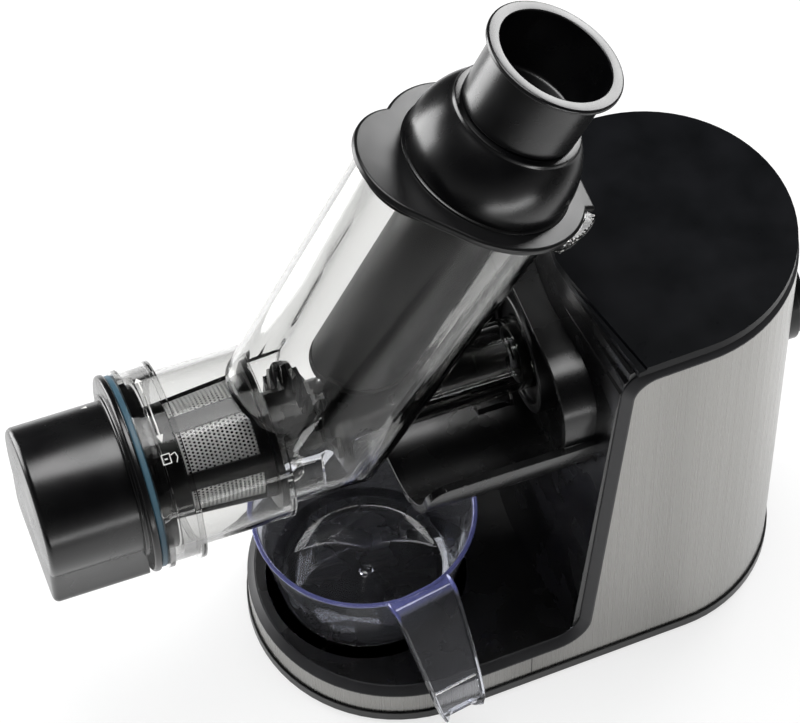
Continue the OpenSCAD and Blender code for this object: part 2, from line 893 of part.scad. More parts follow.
// Corners where the tangents of a keyhole section touch its circles
function keyhole_points(r1, r2) = let (turn = acos((r2 - r1) / nose_u)) [
  [r1 * cos(turn), r1 * sin(turn)],
  [r1 * cos(turn), -r1 * sin(turn)],
  [-nose_u + r2 * cos(turn), -r2 * sin(turn)],
  [-nose_u + r2 * cos(turn), r2 * sin(turn)]];

module chute_body(inset, s0, s1) {
  axis_s = cup_rise / cos(chute_tilt);
  function round_r(s) = chute_r + (chute_foot_r - chute_r) * (s - lid_s) / (axis_s - lid_s) - inset;
  upper = keyhole_points(round_r(s0) * web_share, (nose_r - inset) * web_share);
  lower = keyhole_points(round_r(s1) * web_share, (nose_r - inset) * web_share);
  points = concat([for (p = lower) [p.x, p.y, -s1]], [for (p = upper) [p.x, p.y, -s0]]);
  on_chute(0) {
    translate([0, 0, -s1]) cylinder(r1 = round_r(s1), r2 = round_r(s0), h = s1 - s0);
    translate([-nose_u, 0, -s1]) cylinder(r = nose_r - inset, h = s1 - s0);
    polyhedron(points = points, faces = [[3, 2, 1, 0], [4, 5, 6, 7], [1, 5, 4, 0],
      [2, 6, 5, 1], [3, 7, 6, 2], [0, 4, 7, 3]]);
  }
}

// The chute down to the drum axis, and below it only inside a coaxial cylinder
module feed_space(inset, s0) {
  intersection() {
    chute_body(inset, s0, chute_foot_s);
    union() {
      translate([-far, -far, axis_z]) cube([2 * far, 2 * far, 2 * far]);
      on_axis(axis_z) rod(chamber_r - inset, -ring_x, 0);
    }
  }
}

module drum() {
  color("#dfe6ea", 0.4) difference() {
    union() {
      on_axis(axis_z) {
        rod(ring_r, -mouth_x, -ring_x);
        rod(ring_r + ring_lip, -mouth_x, -mouth_x + ring_lip_len);
        rod(ring_r + ring_lip, -ring_x - ring_lip_len, -ring_x);
        rod(barrel_r, -ring_x - over, -shoulder_x + drum_wall);
        rod(chamber_r, -shoulder_x, -nozzle_x + nozzle_r);
        rod(neck_r, -neck_start, neck_end);
        for (k = [0:neck_lugs - 1]) rotate([360 / neck_lugs * k + 30, 0, 0])
          translate([-neck_lug_x0, -neck_lug_w / 2, 0]) cube([neck_lug_x0 - neck_lug_x1, neck_lug_w, neck_lug_r]);
      }
      feed_space(0, chute_top_s);
      translate([-nozzle_x, 0, axis_z - chamber_r - nozzle_h]) cylinder(r = nozzle_r, h = nozzle_h + chamber_r / 2);
    }
    on_axis(axis_z) {
      rod(barrel_in, -mouth_x - over, -shoulder_x);
      rod(chamber_in, -shoulder_x - over, -nozzle_x + nozzle_r);
      rod(neck_in, -neck_start - over, neck_end + over);
      rod(groove_r, -groove_x, -groove_x + lug_len + 2 * slide_gap);
      for (k = [0:2]) rotate([120 * k + cap_turn, 0, 0]) intersection() {
        rod(groove_r - slide_gap, -mouth_x - over, -groove_x + over);
        along_x(-mouth_x - over, -groove_x + over) lug_sector(lug_arc + lug_play);
      }
    }
    difference() {
      feed_space(drum_wall, chute_top_s - over);
      on_axis(axis_z) rod(barrel_r, -mouth_x, -shoulder_x);
    }
    translate([-nozzle_x, 0, axis_z - chamber_r - nozzle_h - over])
      cylinder(r = nozzle_r - drum_wall, h = nozzle_h + chamber_r / 2);
  }
}

cap_turn = 40;
module lug_sector(arc) {
  polygon([[0, 0], far * [cos(-arc / 2), sin(-arc / 2)], far * [cos(arc / 2), sin(arc / 2)]]);
}

seal_len = 5;

module neck_seal() {
  color("#5d7480") on_axis(axis_z)
    tube(neck_in - run_gap / 2, stem_r + run_gap, neck_end - seal_len - stem_end, neck_end - stem_end);
}

// Strainer

function strainer_out(d) = strainer_r2
  + (strainer_r1 - strainer_r2) * (d - strainer_rear) / (strainer_front - strainer_rear);

module strainer_cone(inset, grow) {
  cone(strainer_out(strainer_front + grow) - inset, -strainer_front - grow,
    strainer_out(strainer_rear - grow) - inset, -strainer_rear + grow);
}

module strainer_cage() {
  band = 2 * cage_flange_t;
  window = 360 / cage_bars - 2 * asin(cage_bar_w / 2 / strainer_r1);
  color("#1d1d1f") on_axis(axis_z) difference() {
    union() {
      strainer_cone(0, 0);
      rod(chamber_r, -strainer_rear, -shoulder_x);
    }
    strainer_cone(cage_t, 2 * band);
    for (k = [0:cage_bars - 1]) rotate([360 / cage_bars * k, 0, 0])
      along_x(-strainer_front + cage_band, -strainer_rear - band) lug_sector(window);
  }
}

screen_rows = 6;
screen_hole_r = 1.3;

module strainer_screen() {
  band = 2 * cage_flange_t;
  pitch = (strainer_front - strainer_rear - cage_band - 2 * band) / (screen_rows - 1);
  color("#b9bbbd") on_axis(axis_z) difference() {
    strainer_cone(cage_t, 0);
    strainer_cone(cage_t + screen_t, band);
    for (k = [0:2 * cage_bars - 1]) rotate([360 / cage_bars * (k + 0.5) / 2, 0, 0])
      for (i = [0:screen_rows - 1]) translate([-strainer_front + cage_band + band / 2 + i * pitch, 0, strainer_r1 / 2])
        cylinder(r = screen_hole_r, h = strainer_r2, $fn = 16);
  }
}

// Auger

auger_steps = 60;
auger_sides = 32;
function strainer_in(d) = strainer_out(d) - cage_t - screen_t;
function lerp(a, b, t) = a + (b - a) * min(1, max(0, t));
function core_r(d) = lerp(core_r1, core_r2, (d - auger_rear) / (strainer_front - auger_rear));
function thread_r(d) = d > strainer_rear
  ? strainer_in(d) - 2 * slide_gap
  : min(lerp(rear_thread_r, auger_r, (d - auger_rear) / rear_thread_run),
    lerp(auger_r, strainer_in(strainer_rear) - 2 * slide_gap, (d - shoulder_x + 2 * cage_flange_t) / (2 * cage_flange_t)));
thread_half = 180 * thread_w / auger_pitch;
thread_flank = 14;
function thread_bump(a) = let (m = abs((a % 360 + 540) % 360 - 180))
  min(1, max(0, (thread_half - m) / thread_flank));

module auger_screw() {
  len = mouth_x - auger_rear;
  points = [for (i = [0:auger_steps]) let (d = mouth_x - len * i / auger_steps)
    for (j = [0:auger_sides - 1]) let (
      a = 360 * j / auger_sides,
      r = core_r(d) + (thread_r(d) - core_r(d)) * thread_bump(a + 360 * d / auger_pitch))
    [-d, r * cos(a), r * sin(a)]];
  n = auger_sides;
  sides = [for (i = [0:auger_steps - 1]) for (j = [0:n - 1])
    let (a = i * n + j, b = i * n + (j + 1) % n) each [[a, a + n, b], [b, a + n, b + n]]];
  polyhedron(points = points, faces = concat(sides,
    [[for (j = [0:n - 1]) j]], [[for (j = [n - 1:-1:0]) auger_steps * n + j]]), convexity = 10);
}

module auger() {
  color("#1a1a1c") on_axis(axis_z) difference() {
    union() {
      auger_screw();
      rod(stem_r, -auger_rear - over, -stem_end);
      cone(journal_r, -cap_end + bush_end, tip_r, -mouth_x + over);
      rod(journal_r, -cap_end + 2 * wall, -cap_end + bush_end + over);
    }
    rod(socket_r, -hex_tip - 2 * wall, 0);
  }
}

socket_r = 10.8;
module auger_socket() {
  color("#c9c4b4") on_axis(axis_z) difference() {
    rod(socket_r - run_gap / 2, -hex_tip - 2 * wall, -stem_end);
    along_x(-hex_tip - wall, 0) hexagon(hex_af + 2 * run_gap);
  }
}

// End cap

cap_wall = 3;
bush_end = 22;
bush_t = 3;
sleeve_len = 8;
spout_round = 10;

module spout_outline(inset) {
  w = spout_half_w - inset;
  d = spout_drop - inset / 2;
  r = spout_round - inset;
  polygon(concat([[-w, 0], [w, 0]],
    [for (p = arc_points(w - r, -d + r, r, 0, -90, 6)) p],
    [for (p = arc_points(-w + r, -d + r, r, -90, -180, 6)) p]));
}

module end_cap() {
  color("#131314") on_axis(axis_z) difference() {
    union() {
      rod(cap_r, -cap_end, -cap_x + over);
      rod(cap_flange_r, -cap_x, -cap_x + flange_t);
      rod(barrel_in - slide_gap, -cap_x, -mouth_x + sleeve_len);
      intersection() {
        rod(groove_r - 2 * slide_gap, -groove_x + slide_gap, -groove_x + lug_len);
        for (k = [0:2]) rotate([120 * k, 0, 0])
          along_x(-mouth_x, -ring_x) lug_sector(lug_arc);
      }
      along_x(-cap_end, -cap_x) spout_outline(0);
    }
    difference() {
      union() {
        rod(cap_r - cap_wall, -cap_end + cap_wall, -mouth_x + sleeve_len + over);
        along_x(-cap_end + cap_wall, -cap_x - cap_wall) spout_outline(cap_wall);
        translate([-cap_end + 2 * cap_wall, -spout_half_w + 3 * cap_wall, -spout_drop - over])
          cube([cap_len - 4 * cap_wall, 2 * spout_half_w - 6 * cap_wall, spout_drop]);
      }
      rod(journal_r + bush_t + cap_wall, -cap_end, -cap_end + bush_end - 2 * wall);
    }
    rod(journal_r + bush_t, -cap_end + cap_wall, -cap_end + bush_end);
  }
}

module tip_bush() {
  color("#d8d3c4") on_axis(axis_z)
    tube(journal_r + bush_t - run_gap / 2, journal_r + run_gap, -cap_end + cap_wall, -cap_end + bush_end - 2 * wall);
}

module cap_gasket() {
  color("#4f6f80") on_axis(axis_z)
    tube(cap_flange_r - over, barrel_in, -cap_x + flange_t, -mouth_x - slide_gap);
}

// Lid and pusher

lid_nose_r = 36.5;
ear_u = 54;
ear_v0 = 3;
ear_v1 = 27;
ear_v2 = 45.9;
skirt_t = 2;
foot_ring_r = 47.5;
foot_ring_h = 2;
neck_ring_h = 2;
pusher_gap = 0.5;

module lid_outline() {
  turn = acos((lid_nose_r - lid_r) / nose_u);
  circle(r = lid_r);
  translate([-nose_u, 0]) circle(r = lid_nose_r);
  polygon([[0, 0], [lid_r * cos(turn), -lid_r * sin(turn)],
    [-nose_u + lid_nose_r * cos(turn), -lid_nose_r * sin(turn)], [-nose_u, 0]]);
  polygon([[0, 0], [ear_u, -ear_v0], [ear_u, -ear_v1], [ear_v1, -ear_v2]]);
}

module lid() {
  color("#1c1c1e") on_chute(lid_s) difference() {
    union() {
      translate([0, 0, -lid_t]) linear_extrude(lid_t) lid_outline();
      cylinder(r = foot_ring_r, h = foot_ring_h);
      intersection() {
        translate([0, 0, dome_lift]) sphere(r = dome_r, $fn = 96);
        cylinder(r = dome_r + over, h = lid_s - cup_depth);
      }
      translate([0, 0, lid_s - cup_depth - neck_ring_h]) cylinder(r = collar_r, h = neck_ring_h);
      translate([0, 0, -lid_t - skirt_h]) linear_extrude(skirt_h + over) keyhole(skirt_r, skirt_nose_r);
    }
    translate([0, 0, -lid_t - skirt_h - over]) linear_extrude(skirt_h + over)
      keyhole(skirt_r - skirt_t, skirt_nose_r - skirt_t);
    intersection() {
      translate([0, 0, dome_lift]) sphere(r = dome_r - dome_wall, $fn = 96);
      translate([0, 0, -lid_t - over]) cylinder(r = dome_r - dome_wall, h = lid_s - cup_depth - dome_wall + lid_t);
    }
    translate([0, 0, -lid_t - over]) cylinder(r = tube_r + pusher_gap, h = lid_s);
  }
}

skirt_r = chute_r - drum_wall - 4 * slide_gap;
skirt_nose_r = nose_r - drum_wall - 3 * slide_gap;

module lid_seal() {
  color("#5a7080") on_chute(lid_s + lid_t) translate([0, 0, -seal_t + run_gap]) difference() {
    linear_extrude(seal_t - run_gap) keyhole(chute_r, nose_r);
    translate([0, 0, -over]) linear_extrude(seal_t + 2 * over) keyhole(skirt_r, skirt_nose_r);
  }
}

cup_wall = 1.8;
cup_floor_t = 3;
cup_flange_t = 3;
cup_draft = 0.6;
pusher_foot_t = 3;

// The pusher tube down to a level plane at a height above the drum axis
module pusher_stem(r, s0, rise) {
  difference() {
    on_chute(tube_end_s + tube_r) cylinder(r = r, h = tube_end_s + tube_r - s0);
    translate([-far, -far, axis_z + rise - far]) cube([2 * far, 2 * far, far]);
  }
}

module pusher() {
  color("#151516") difference() {
    union() {
      on_chute(cup_depth - slide_gap) cylinder(r1 = cup_r - cup_draft, r2 = cup_r, h = cup_depth - slide_gap);
      on_chute(cup_flange_t) cylinder(r = cup_flange_r, h = cup_flange_t);
      pusher_stem(tube_r, cup_depth - over, tube_end_rise + pusher_foot_t);
    }
    on_chute(cup_depth - slide_gap - cup_floor_t)
      cylinder(r1 = cup_r - cup_draft - cup_wall, r2 = cup_r - cup_wall, h = cup_depth);
    pusher_stem(tube_r - tube_wall, cup_depth, tube_end_rise);
  }
}

module pusher_foot() {
  color("#19191b") difference() {
    union() {
      pusher_stem(tube_r, cup_depth, tube_end_rise);
      pusher_stem(tube_r - tube_wall - run_gap / 2, cup_depth, tube_end_rise);
    }
    translate([-far, -far, axis_z + tube_end_rise + pusher_foot_t]) cube([2 * far, 2 * far, far]);
  }
}

// Jug

jug_z = deck_z - recess_d;
jug_floor_t = 2.4;
jug_foot_h = 1.6;
jug_floor_r = 43;
jug_round = 5;
jug_lip = 1.2;
handle_w = 34;
handle_t = 3.6;
handle_reach = 44;
handle_drop = 58;

module jug_profile() {
  top = jug_top - jug_z;
  low = jug_round;
  polygon(concat(
    [[0, jug_foot_h], [jug_floor_r - 2 * jug_foot_h, jug_foot_h], [jug_floor_r - jug_foot_h, 0]],
    arc_points(jug_base_r - low, low, low, -90, -8, 5),
    [[jug_r - jug_lip, top - 2 * jug_lip], [jug_r, top - jug_lip], [jug_r, top], [jug_r - jug_wall, top]],
    [[jug_base_r - jug_wall, low + jug_floor_t]],
    [[jug_floor_r, jug_foot_h + jug_floor_t], [0, jug_foot_h + jug_floor_t]]));
}

module handle_side(grow) {
  x0 = jug_r - jug_wall / 2;
  z0 = jug_top - jug_z - handle_t / 2;
  x1 = jug_r + handle_reach;
  z1 = z0 - handle_drop;
  t = handle_t / 2 + grow;
  lean = atan2(z0 - z1, x1 - x0);
  union() {
    translate([x0, z0]) rotate(-lean) translate([0, -t]) square([norm([x1 - x0, z0 - z1]), 2 * t]);
    translate([x1, z1]) circle(r = t);
  }
}

module jug() {
  color("#cfd8e4", 0.4) translate([-jug_x, 0, jug_z]) {
    rotate_extrude($fn = 96) jug_profile();
    rotate([0, 0, handle_turn]) difference() {
      union() {
        translate([0, handle_w / 2, 0]) rotate([90, 0, 0]) linear_extrude(handle_w) handle_side(0);
        for (y = [-handle_w / 2, handle_w / 2 - handle_t / 2])
          translate([0, y + handle_t / 2, 0]) rotate([90, 0, 0]) linear_extrude(handle_t / 2) handle_side(handle_t / 2);
      }
      translate([0, 0, -over]) cylinder(r = jug_r - jug_wall / 2, h = jug_top + over, $fn = 96);
    }
  }
}

base_pan();
rubber_feet();
pan_screws();
base_deck();
tower_housing();
steel_wrap();
edge_trim();
top_cover();
drum_cradle();
coupling_collar();
shaft_seal();
output_shaft();
output_gear();
output_bearings();
gear_case_front();
gear_case_rear();
gear_case_screws();
intermediate_axle();
intermediate_gear();
motor_can();
motor_end_bell();
motor_rotor();
motor_pinion();
cooling_fan();
motor_saddle();
circuit_board();
run_capacitor();
interlock_switch();
rotary_switch();
knob_bezel();
speed_knob();
cord_inlet();
drum();
neck_seal();
strainer_cage();
strainer_screen();
auger();
auger_socket();
end_cap();
cap_gasket();
tip_bush();
lid();
lid_seal();
pusher();
pusher_foot();
jug();
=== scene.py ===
# %% [markdown]
# # A cold press juicer, dressed around its CAD frame
#
# A cold press juicer turns an auger slowly inside a clear drum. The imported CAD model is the
# frame: it fixes every size and every joint. Here each shell that the eye meets gets its real
# roundings, its own material and its place on a moving body.

import json
import math

import bmesh
import bpy
from mathutils import Matrix, Vector


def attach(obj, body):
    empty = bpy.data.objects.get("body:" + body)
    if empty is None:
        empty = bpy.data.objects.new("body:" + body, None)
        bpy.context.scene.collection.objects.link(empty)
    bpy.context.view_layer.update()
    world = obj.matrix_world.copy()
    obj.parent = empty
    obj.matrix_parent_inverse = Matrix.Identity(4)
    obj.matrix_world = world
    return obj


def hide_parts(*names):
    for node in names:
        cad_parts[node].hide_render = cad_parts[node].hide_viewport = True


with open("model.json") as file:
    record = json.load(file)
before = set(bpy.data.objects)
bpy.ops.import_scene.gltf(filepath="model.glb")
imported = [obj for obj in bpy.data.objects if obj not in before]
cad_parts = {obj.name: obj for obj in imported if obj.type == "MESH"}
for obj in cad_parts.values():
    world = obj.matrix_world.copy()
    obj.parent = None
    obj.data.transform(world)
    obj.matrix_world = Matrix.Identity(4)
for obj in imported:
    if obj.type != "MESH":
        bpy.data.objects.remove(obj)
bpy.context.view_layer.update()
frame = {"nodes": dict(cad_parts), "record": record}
nodes = frame["nodes"]
MM = 0.001

# %% [markdown]
# ## The camera
#
# The camera comes first, because it decides what matters. Its place, turn and lens were fitted
# numerically, so that points on the edges and circles of the juicer fall where the photograph
# has them: high above the front left, with a long lens and a slight roll.

# %% Camera
turn, tip, roll = math.radians(-19.037), math.radians(56.072), math.radians(-1.224)
back = Vector((math.sin(turn) * math.cos(tip), -math.cos(turn) * math.cos(tip), math.sin(tip)))
level = (-back).cross(Vector((0, 0, 1))).normalized()
upright = level.cross(-back)
right = math.cos(roll) * level + math.sin(roll) * upright
up = -math.sin(roll) * level + math.cos(roll) * upright
lens = bpy.data.cameras.new("camera")
lens.sensor_width = 36
lens.lens = 169.08
lens.clip_end = 20
camera = bpy.data.objects.new("camera", lens)
bpy.context.scene.collection.objects.link(camera)
stand = Vector((-418.6, -1029.5, 1849.2)) * MM
camera.matrix_world = Matrix.Translation(stand) @ Matrix((right, up, back)).transposed().to_4x4()
bpy.context.scene.camera = camera
bpy.context.scene.view_settings.view_transform = "Standard"
print("camera distance:", round(camera.location.length, 3), "m")

# %% [markdown]
# ## Helpers for materials
#
# Colours are written as sRGB hex values, as a designer would read them off a sample, and one
# function turns them to the linear values that the renderer works in. One more adds a node with
# its settings and links, so that each material below reads as a list of what it is made of.

# %% Colour and node helpers
def linear(code):
    """The linear red, green, blue and alpha of an sRGB hex value."""
    parts = [int(code[k:k + 2], 16) / 255 for k in (1, 3, 5)]
    return [c / 12.92 if c <= 0.04045 else ((c + 0.055) / 1.055) ** 2.4 for c in parts] + [1]


def add(tree, kind, settings=None, links=None):
    """Adds a node of a kind, with values for its sockets or options and links into its inputs."""
    node = tree.nodes.new("ShaderNode" + kind)
    for key, value in (settings or {}).items():
        if isinstance(key, int) or key in node.inputs:
            node.inputs[key].default_value = value
        else:
            setattr(node, key, value)
    for key, socket in (links or {}).items():
        tree.links.new(socket, node.inputs[key])
    return node


def start(name, **sockets):
    """A new material: its tree, its shader with these socket values, and its object coordinates."""
    made = bpy.data.materials.new(name)
    made.use_nodes = True
    tree = made.node_tree
    shader = tree.nodes["Principled BSDF"]
    for key, value in sockets.items():
        shader.inputs[key.replace("_", " ")].default_value = value
    place = add(tree, "TexCoord").outputs["Object"]
    return made, tree, shader, place


PATCH_MM = 28


def moulded(name, dark, light, rough, grain_mm, depth_mm, ior=1.5, smudge=0.06, **sockets):
    """A moulded plastic or rubber: two close colours, uneven gloss and a fine surface grain."""
    made, tree, shader, place = start(name, IOR=ior, **sockets)
    patches = add(tree, "TexNoise", {"Scale": 1 / (PATCH_MM * MM), "Detail": 4.0}, {"Vector": place})
    tone = add(tree, "MapRange", {"From Min": 0.35, "From Max": 0.65}, {"Value": patches.outputs["Fac"]})
    mix = add(tree, "MixRGB", {"Color1": linear(dark), "Color2": linear(light)},
              {"Fac": tone.outputs["Result"]})
    gloss = add(tree, "MapRange", {"From Min": 0.3, "From Max": 0.7, "To Min": rough - smudge / 2,
                                   "To Max": rough + smudge}, {"Value": patches.outputs["Fac"]})
    grain = add(tree, "TexNoise", {"Scale": 1 / (grain_mm * MM), "Detail": 2.0}, {"Vector": place})
    bump = add(tree, "Bump", {"Strength": 1.0, "Distance": depth_mm * MM},
               {"Height": grain.outputs["Fac"]})
    tree.links.new(mix.outputs["Color"], shader.inputs["Base Color"])
    tree.links.new(gloss.outputs["Result"], shader.inputs["Roughness"])
    tree.links.new(bump.outputs["Normal"], shader.inputs["Normal"])
    return made


# %% [markdown]
# ## Black plastics
#
# The cap, the dome, the cup, the cradle and the tower's front are injection-moulded ABS from a
# polished mould. A polished mould leaves a deep gloss with a faint orange peel, a ripple some
# millimetres wide. The lid plate and the collar come from a finer, satin mould, and the top
# cover from a spark-eroded one, whose fine grain keeps it matt and nearly without highlights. The
# trim is a dark grey, and the strainer's cage and the pusher's tube are black nylon.

# %% Black plastics
gloss_abs = moulded("polished_abs", "#030304", "#060607", 0.25, 7, 0.004, Specular_IOR_Level=0.6)
satin_abs = moulded("satin_abs", "#070708", "#0b0b0c", 0.3, 0.9, 0.006, Specular_IOR_Level=0.45)
grained_abs = moulded("spark_eroded_abs", "#08090b", "#0c0d10", 0.3, 0.5, 0.005,
                      Specular_IOR_Level=0.08)
trim_abs = moulded("grey_trim_abs", "#232325", "#2b2b2d", 0.36, 0.8, 0.006, Specular_IOR_Level=0.35)
nylon = moulded("black_nylon", "#060607", "#0a0a0b", 0.36, 1.4, 0.004, Specular_IOR_Level=0.3)
print("black plastics:", [m.name for m in (gloss_abs, satin_abs, grained_abs, trim_abs, nylon)])

# %% [markdown]
# ## Rubbers
#
# The gaskets are silicone, cast in blue grey and slightly soft in its gloss. The feet are black
# rubber with talc left in its pores, so it is lighter and matt.

# %% Rubbers
silicone = moulded("blue_grey_silicone", "#34505f", "#41606f", 0.42, 2.5, 0.01, ior=1.41)
foot_rubber = moulded("black_rubber", "#0d0d0d", "#151514", 0.66, 0.8, 0.012,
                      Specular_IOR_Level=0.3)
print("rubbers:", silicone.name, foot_rubber.name)

# %% [markdown]
# ## Metals
#
# The wrap is stainless steel sheet, brushed with a belt along its height. The belt leaves
# scratches a tenth of a millimetre wide, too fine for the picture, so they are drawn half a
# millimetre wide and 220 mm long. Under them the tone changes slowly from side to side in long
# upright bands. These are partly the slight unevenness of real sheet and partly painted reflection:
# the bright and dark bands that the curved wrap mirrors. The same function serves turned shafts and
# machined parts with other sizes.

# %% Brushed and cast metals
SLOW_ACROSS_MM, SLOW_ALONG_MM = 70, 3000


def brushed(name, dark, light, rough, across_mm, along_mm, along=2, depth_mm=0.004, metal=1.0,
            tone_and_sheen_share=0.3):
    """A metal with scratches: across_mm is their width, along_mm their length along one axis."""
    made, tree, shader, place = start(name, Metallic=metal)
    sizes = [1 / (across_mm * MM)] * 3
    sizes[along] = 1 / (along_mm * MM)
    stretch = add(tree, "Mapping", {"Scale": sizes}, {"Vector": place})
    scratch = add(tree, "TexNoise", {"Scale": 1.0, "Detail": 3.0, "Roughness": 0.6},
                  {"Vector": stretch.outputs["Vector"]})
    # Long upright bands of tone: partly the sheet's own unevenness, partly painted reflection bands.
    wide = [1 / (SLOW_ACROSS_MM * MM)] * 3
    wide[along] = 1 / (SLOW_ALONG_MM * MM)
    spread = add(tree, "Mapping", {"Scale": wide}, {"Vector": place})
    slow = add(tree, "TexNoise", {"Scale": 1.0, "Detail": 1.0}, {"Vector": spread.outputs["Vector"]})
    both = add(tree, "MixRGB", {"Fac": tone_and_sheen_share}, {"Color1": scratch.outputs["Fac"],
                                                     "Color2": slow.outputs["Fac"]})
    tone = add(tree, "MapRange", {"From Min": 0.35, "From Max": 0.65}, {"Value": both.outputs["Color"]})
    mix = add(tree, "MixRGB", {"Color1": linear(dark), "Color2": linear(light)},
              {"Fac": tone.outputs["Result"]})
    gloss = add(tree, "MapRange", {"To Min": rough - 0.06, "To Max": rough + 0.08},
                {"Value": scratch.outputs["Fac"]})
    bump = add(tree, "Bump", {"Strength": 1.0, "Distance": depth_mm * MM},
               {"Height": scratch.outputs["Fac"]})
    tree.links.new(mix.outputs["Color"], shader.inputs["Base Color"])
    tree.links.new(gloss.outputs["Result"], shader.inputs["Roughness"])
    tree.links.new(bump.outputs["Normal"], shader.inputs["Normal"])
    return made


# On the wrap the bands weigh most, so they paint the bright and dark reflection bands of its curve.
steel = brushed("brushed_stainless", "#868582", "#9f9e9b", 0.27, 0.5, 220, depth_mm=0.001,
                tone_and_sheen_share=0.75)
screen_steel = brushed("etched_screen_steel", "#c4c4c4", "#dcdcdb", 0.45, 0.5, 12, along=0,
                       metal=0.55)
machined = brushed("turned_steel", "#8f9093", "#aeb0b3", 0.27, 6, 0.5, along=0)
cast = brushed("die_cast_alloy", "#5b5d60", "#72747a", 0.5, 2.2, 2.2, depth_mm=0.05)
brass = brushed("turned_brass", "#a98a45", "#c2a55c", 0.28, 6, 0.5, along=0)
wound = brushed("varnished_laminations", "#4a2a19", "#7d4a2c", 0.38, 6, 0.6, along=0, depth_mm=0.03)
print("metals:", [m.name for m in (steel, screen_steel, machined, cast, brass, wound)])

# %% [markdown]
# ## Inner plastics
#
# The gears are natural acetal, ivory and waxy. The circuit board is glass fibre under a green
# solder mask, which a fine grain leaves slightly uneven.

# %% Inner plastics
acetal = moulded("natural_acetal", "#cfc8b4", "#ddd8c8", 0.36, 1.2, 0.01, ior=1.48)
mask = moulded("solder_mask_green", "#1d4a2a", "#27603a", 0.3, 0.7, 0.02, ior=1.55)
print("inner plastics:", acetal.name, mask.name)


# %% [markdown]
# ## Clear plastics
#
# The drum and the jug are moulded from clear copolyester, whose mould leaves a slow ripple that
# shows as moving highlights. Clear plastics have an index of 1.5 to 1.6. A photographer takes most
# reflections off such a drum with a polarising filter, and the drum's lower index stands in for
# that. The jug's thick rim gathers light and looks violet blue, and that glow is painted: over the
# top three millimetres a violet blue colour grows and less light passes through. The plastic also
# swallows a little light on its way, which thin walls hardly show and edges seen lengthwise do, so
# they are darker.

# %% Clear plastics
RIPPLE_MM, RIPPLE_DEPTH_MM = 22, 0.02


def clear(name, body, ior, smoke, rim=None, glow_low=0.0, glow_high=1.0):
    """Clear copolyester; smoke is the light lost per metre, and a painted rim glow starts at a height."""
    made, tree, shader, place = start(name, IOR=ior, Transmission_Weight=1.0)
    ripple = add(tree, "TexNoise", {"Scale": 1 / (RIPPLE_MM * MM), "Detail": 2.0}, {"Vector": place})
    gloss = add(tree, "MapRange", {"To Min": 0.01, "To Max": 0.04}, {"Value": ripple.outputs["Fac"]})
    bump = add(tree, "Bump", {"Strength": 1.0, "Distance": RIPPLE_DEPTH_MM * MM},
               {"Height": ripple.outputs["Fac"]})
    tree.links.new(gloss.outputs["Result"], shader.inputs["Roughness"])
    tree.links.new(bump.outputs["Normal"], shader.inputs["Normal"])
    lost = add(tree, "VolumeAbsorption", {"Color": (0, 0, 0, 1), "Density": smoke})
    tree.links.new(lost.outputs["Volume"], tree.nodes["Material Output"].inputs["Volume"])
    # Painted glow: between the two heights the colour turns to the rim colour and less light passes,
    # standing in for light gathered in the thick rim.
    height = add(tree, "SeparateXYZ", {}, {"Vector": place})
    near = add(tree, "MapRange", {"From Min": glow_low * MM, "From Max": glow_high * MM},
               {"Value": height.outputs["Z"]})
    mix = add(tree, "MixRGB", {"Color1": linear(body), "Color2": linear(rim or body)},
              {"Fac": near.outputs["Result"]})
    tree.links.new(mix.outputs["Color"], shader.inputs["Base Color"])
    if rim:
        passing = add(tree, "MapRange", {"To Min": 0.975, "To Max": 0.66},
                      {"Value": near.outputs["Result"]})
        tree.links.new(passing.outputs["Result"], shader.inputs["Transmission Weight"])
    return made


drum_clear = clear("clear_copolyester", "#fafaf9", 1.3, 42)
# The jug's violet blue from 94.5 mm up is a painted glow of the light that its thick rim gathers.
jug_clear = clear("clear_copolyester_jug", "#eceef6", 1.58, 18, "#9297e8", 94.5, 97.6)
print("clear plastics:", drum_clear.name, jug_clear.name)

# %% [markdown]
# ## One finish for each CAD node
#
# The record names a material slot for every node. Each slot gets its finish here, also inside
# the tower, so that a part which is taken apart still looks made of something.

# %% Finish by slot
finish_of = {"steel": steel, "housing_black": gloss_abs, "satin_black": satin_abs,
             "trim_grey": trim_abs, "clear": drum_clear, "silicone": silicone,
             "rubber_black": foot_rubber, "steel_part": machined, "case_metal": cast,
             "gear_plastic": acetal, "brass": brass, "copper_wound": wound, "board": mask,
             "screen": screen_steel}
own_finish = {"top_cover": grained_abs, "jug": jug_clear, "strainer_cage": nylon,
              "auger": gloss_abs, "neck_seal": foot_rubber}
slot_of = {part["node"]: part["material_slot"] for part in frame["record"]["subparts"]}
for node_name, cad in nodes.items():
    cad.data.materials.clear()
    cad.data.materials.append(own_finish.get(node_name, finish_of[slot_of[node_name]]))
print("slots:", len(finish_of))


# %% [markdown]
# ## Helpers for shapes
#
# Moulded shells are turned or drawn shapes with rounded edges. A ring of points is carried along
# or round an axis and the rings are joined with faces. A rounded outline turns each corner into
# an arc, because the highlight on that arc is what tells the eye that an edge is moulded. Lengths
# here are in millimetres, and two frames place the shapes: the chute's axis, which leans 27
# degrees, and the drum's, which is level.

# %% Shape helpers
AXIS_Z = 205
RIM_X, RIM_Z, CHUTE_TILT = 18.6, 448.2, math.radians(27)
FLAT_DEG, EDGE_DEG, SHARP_DEG = 1, 38, 34


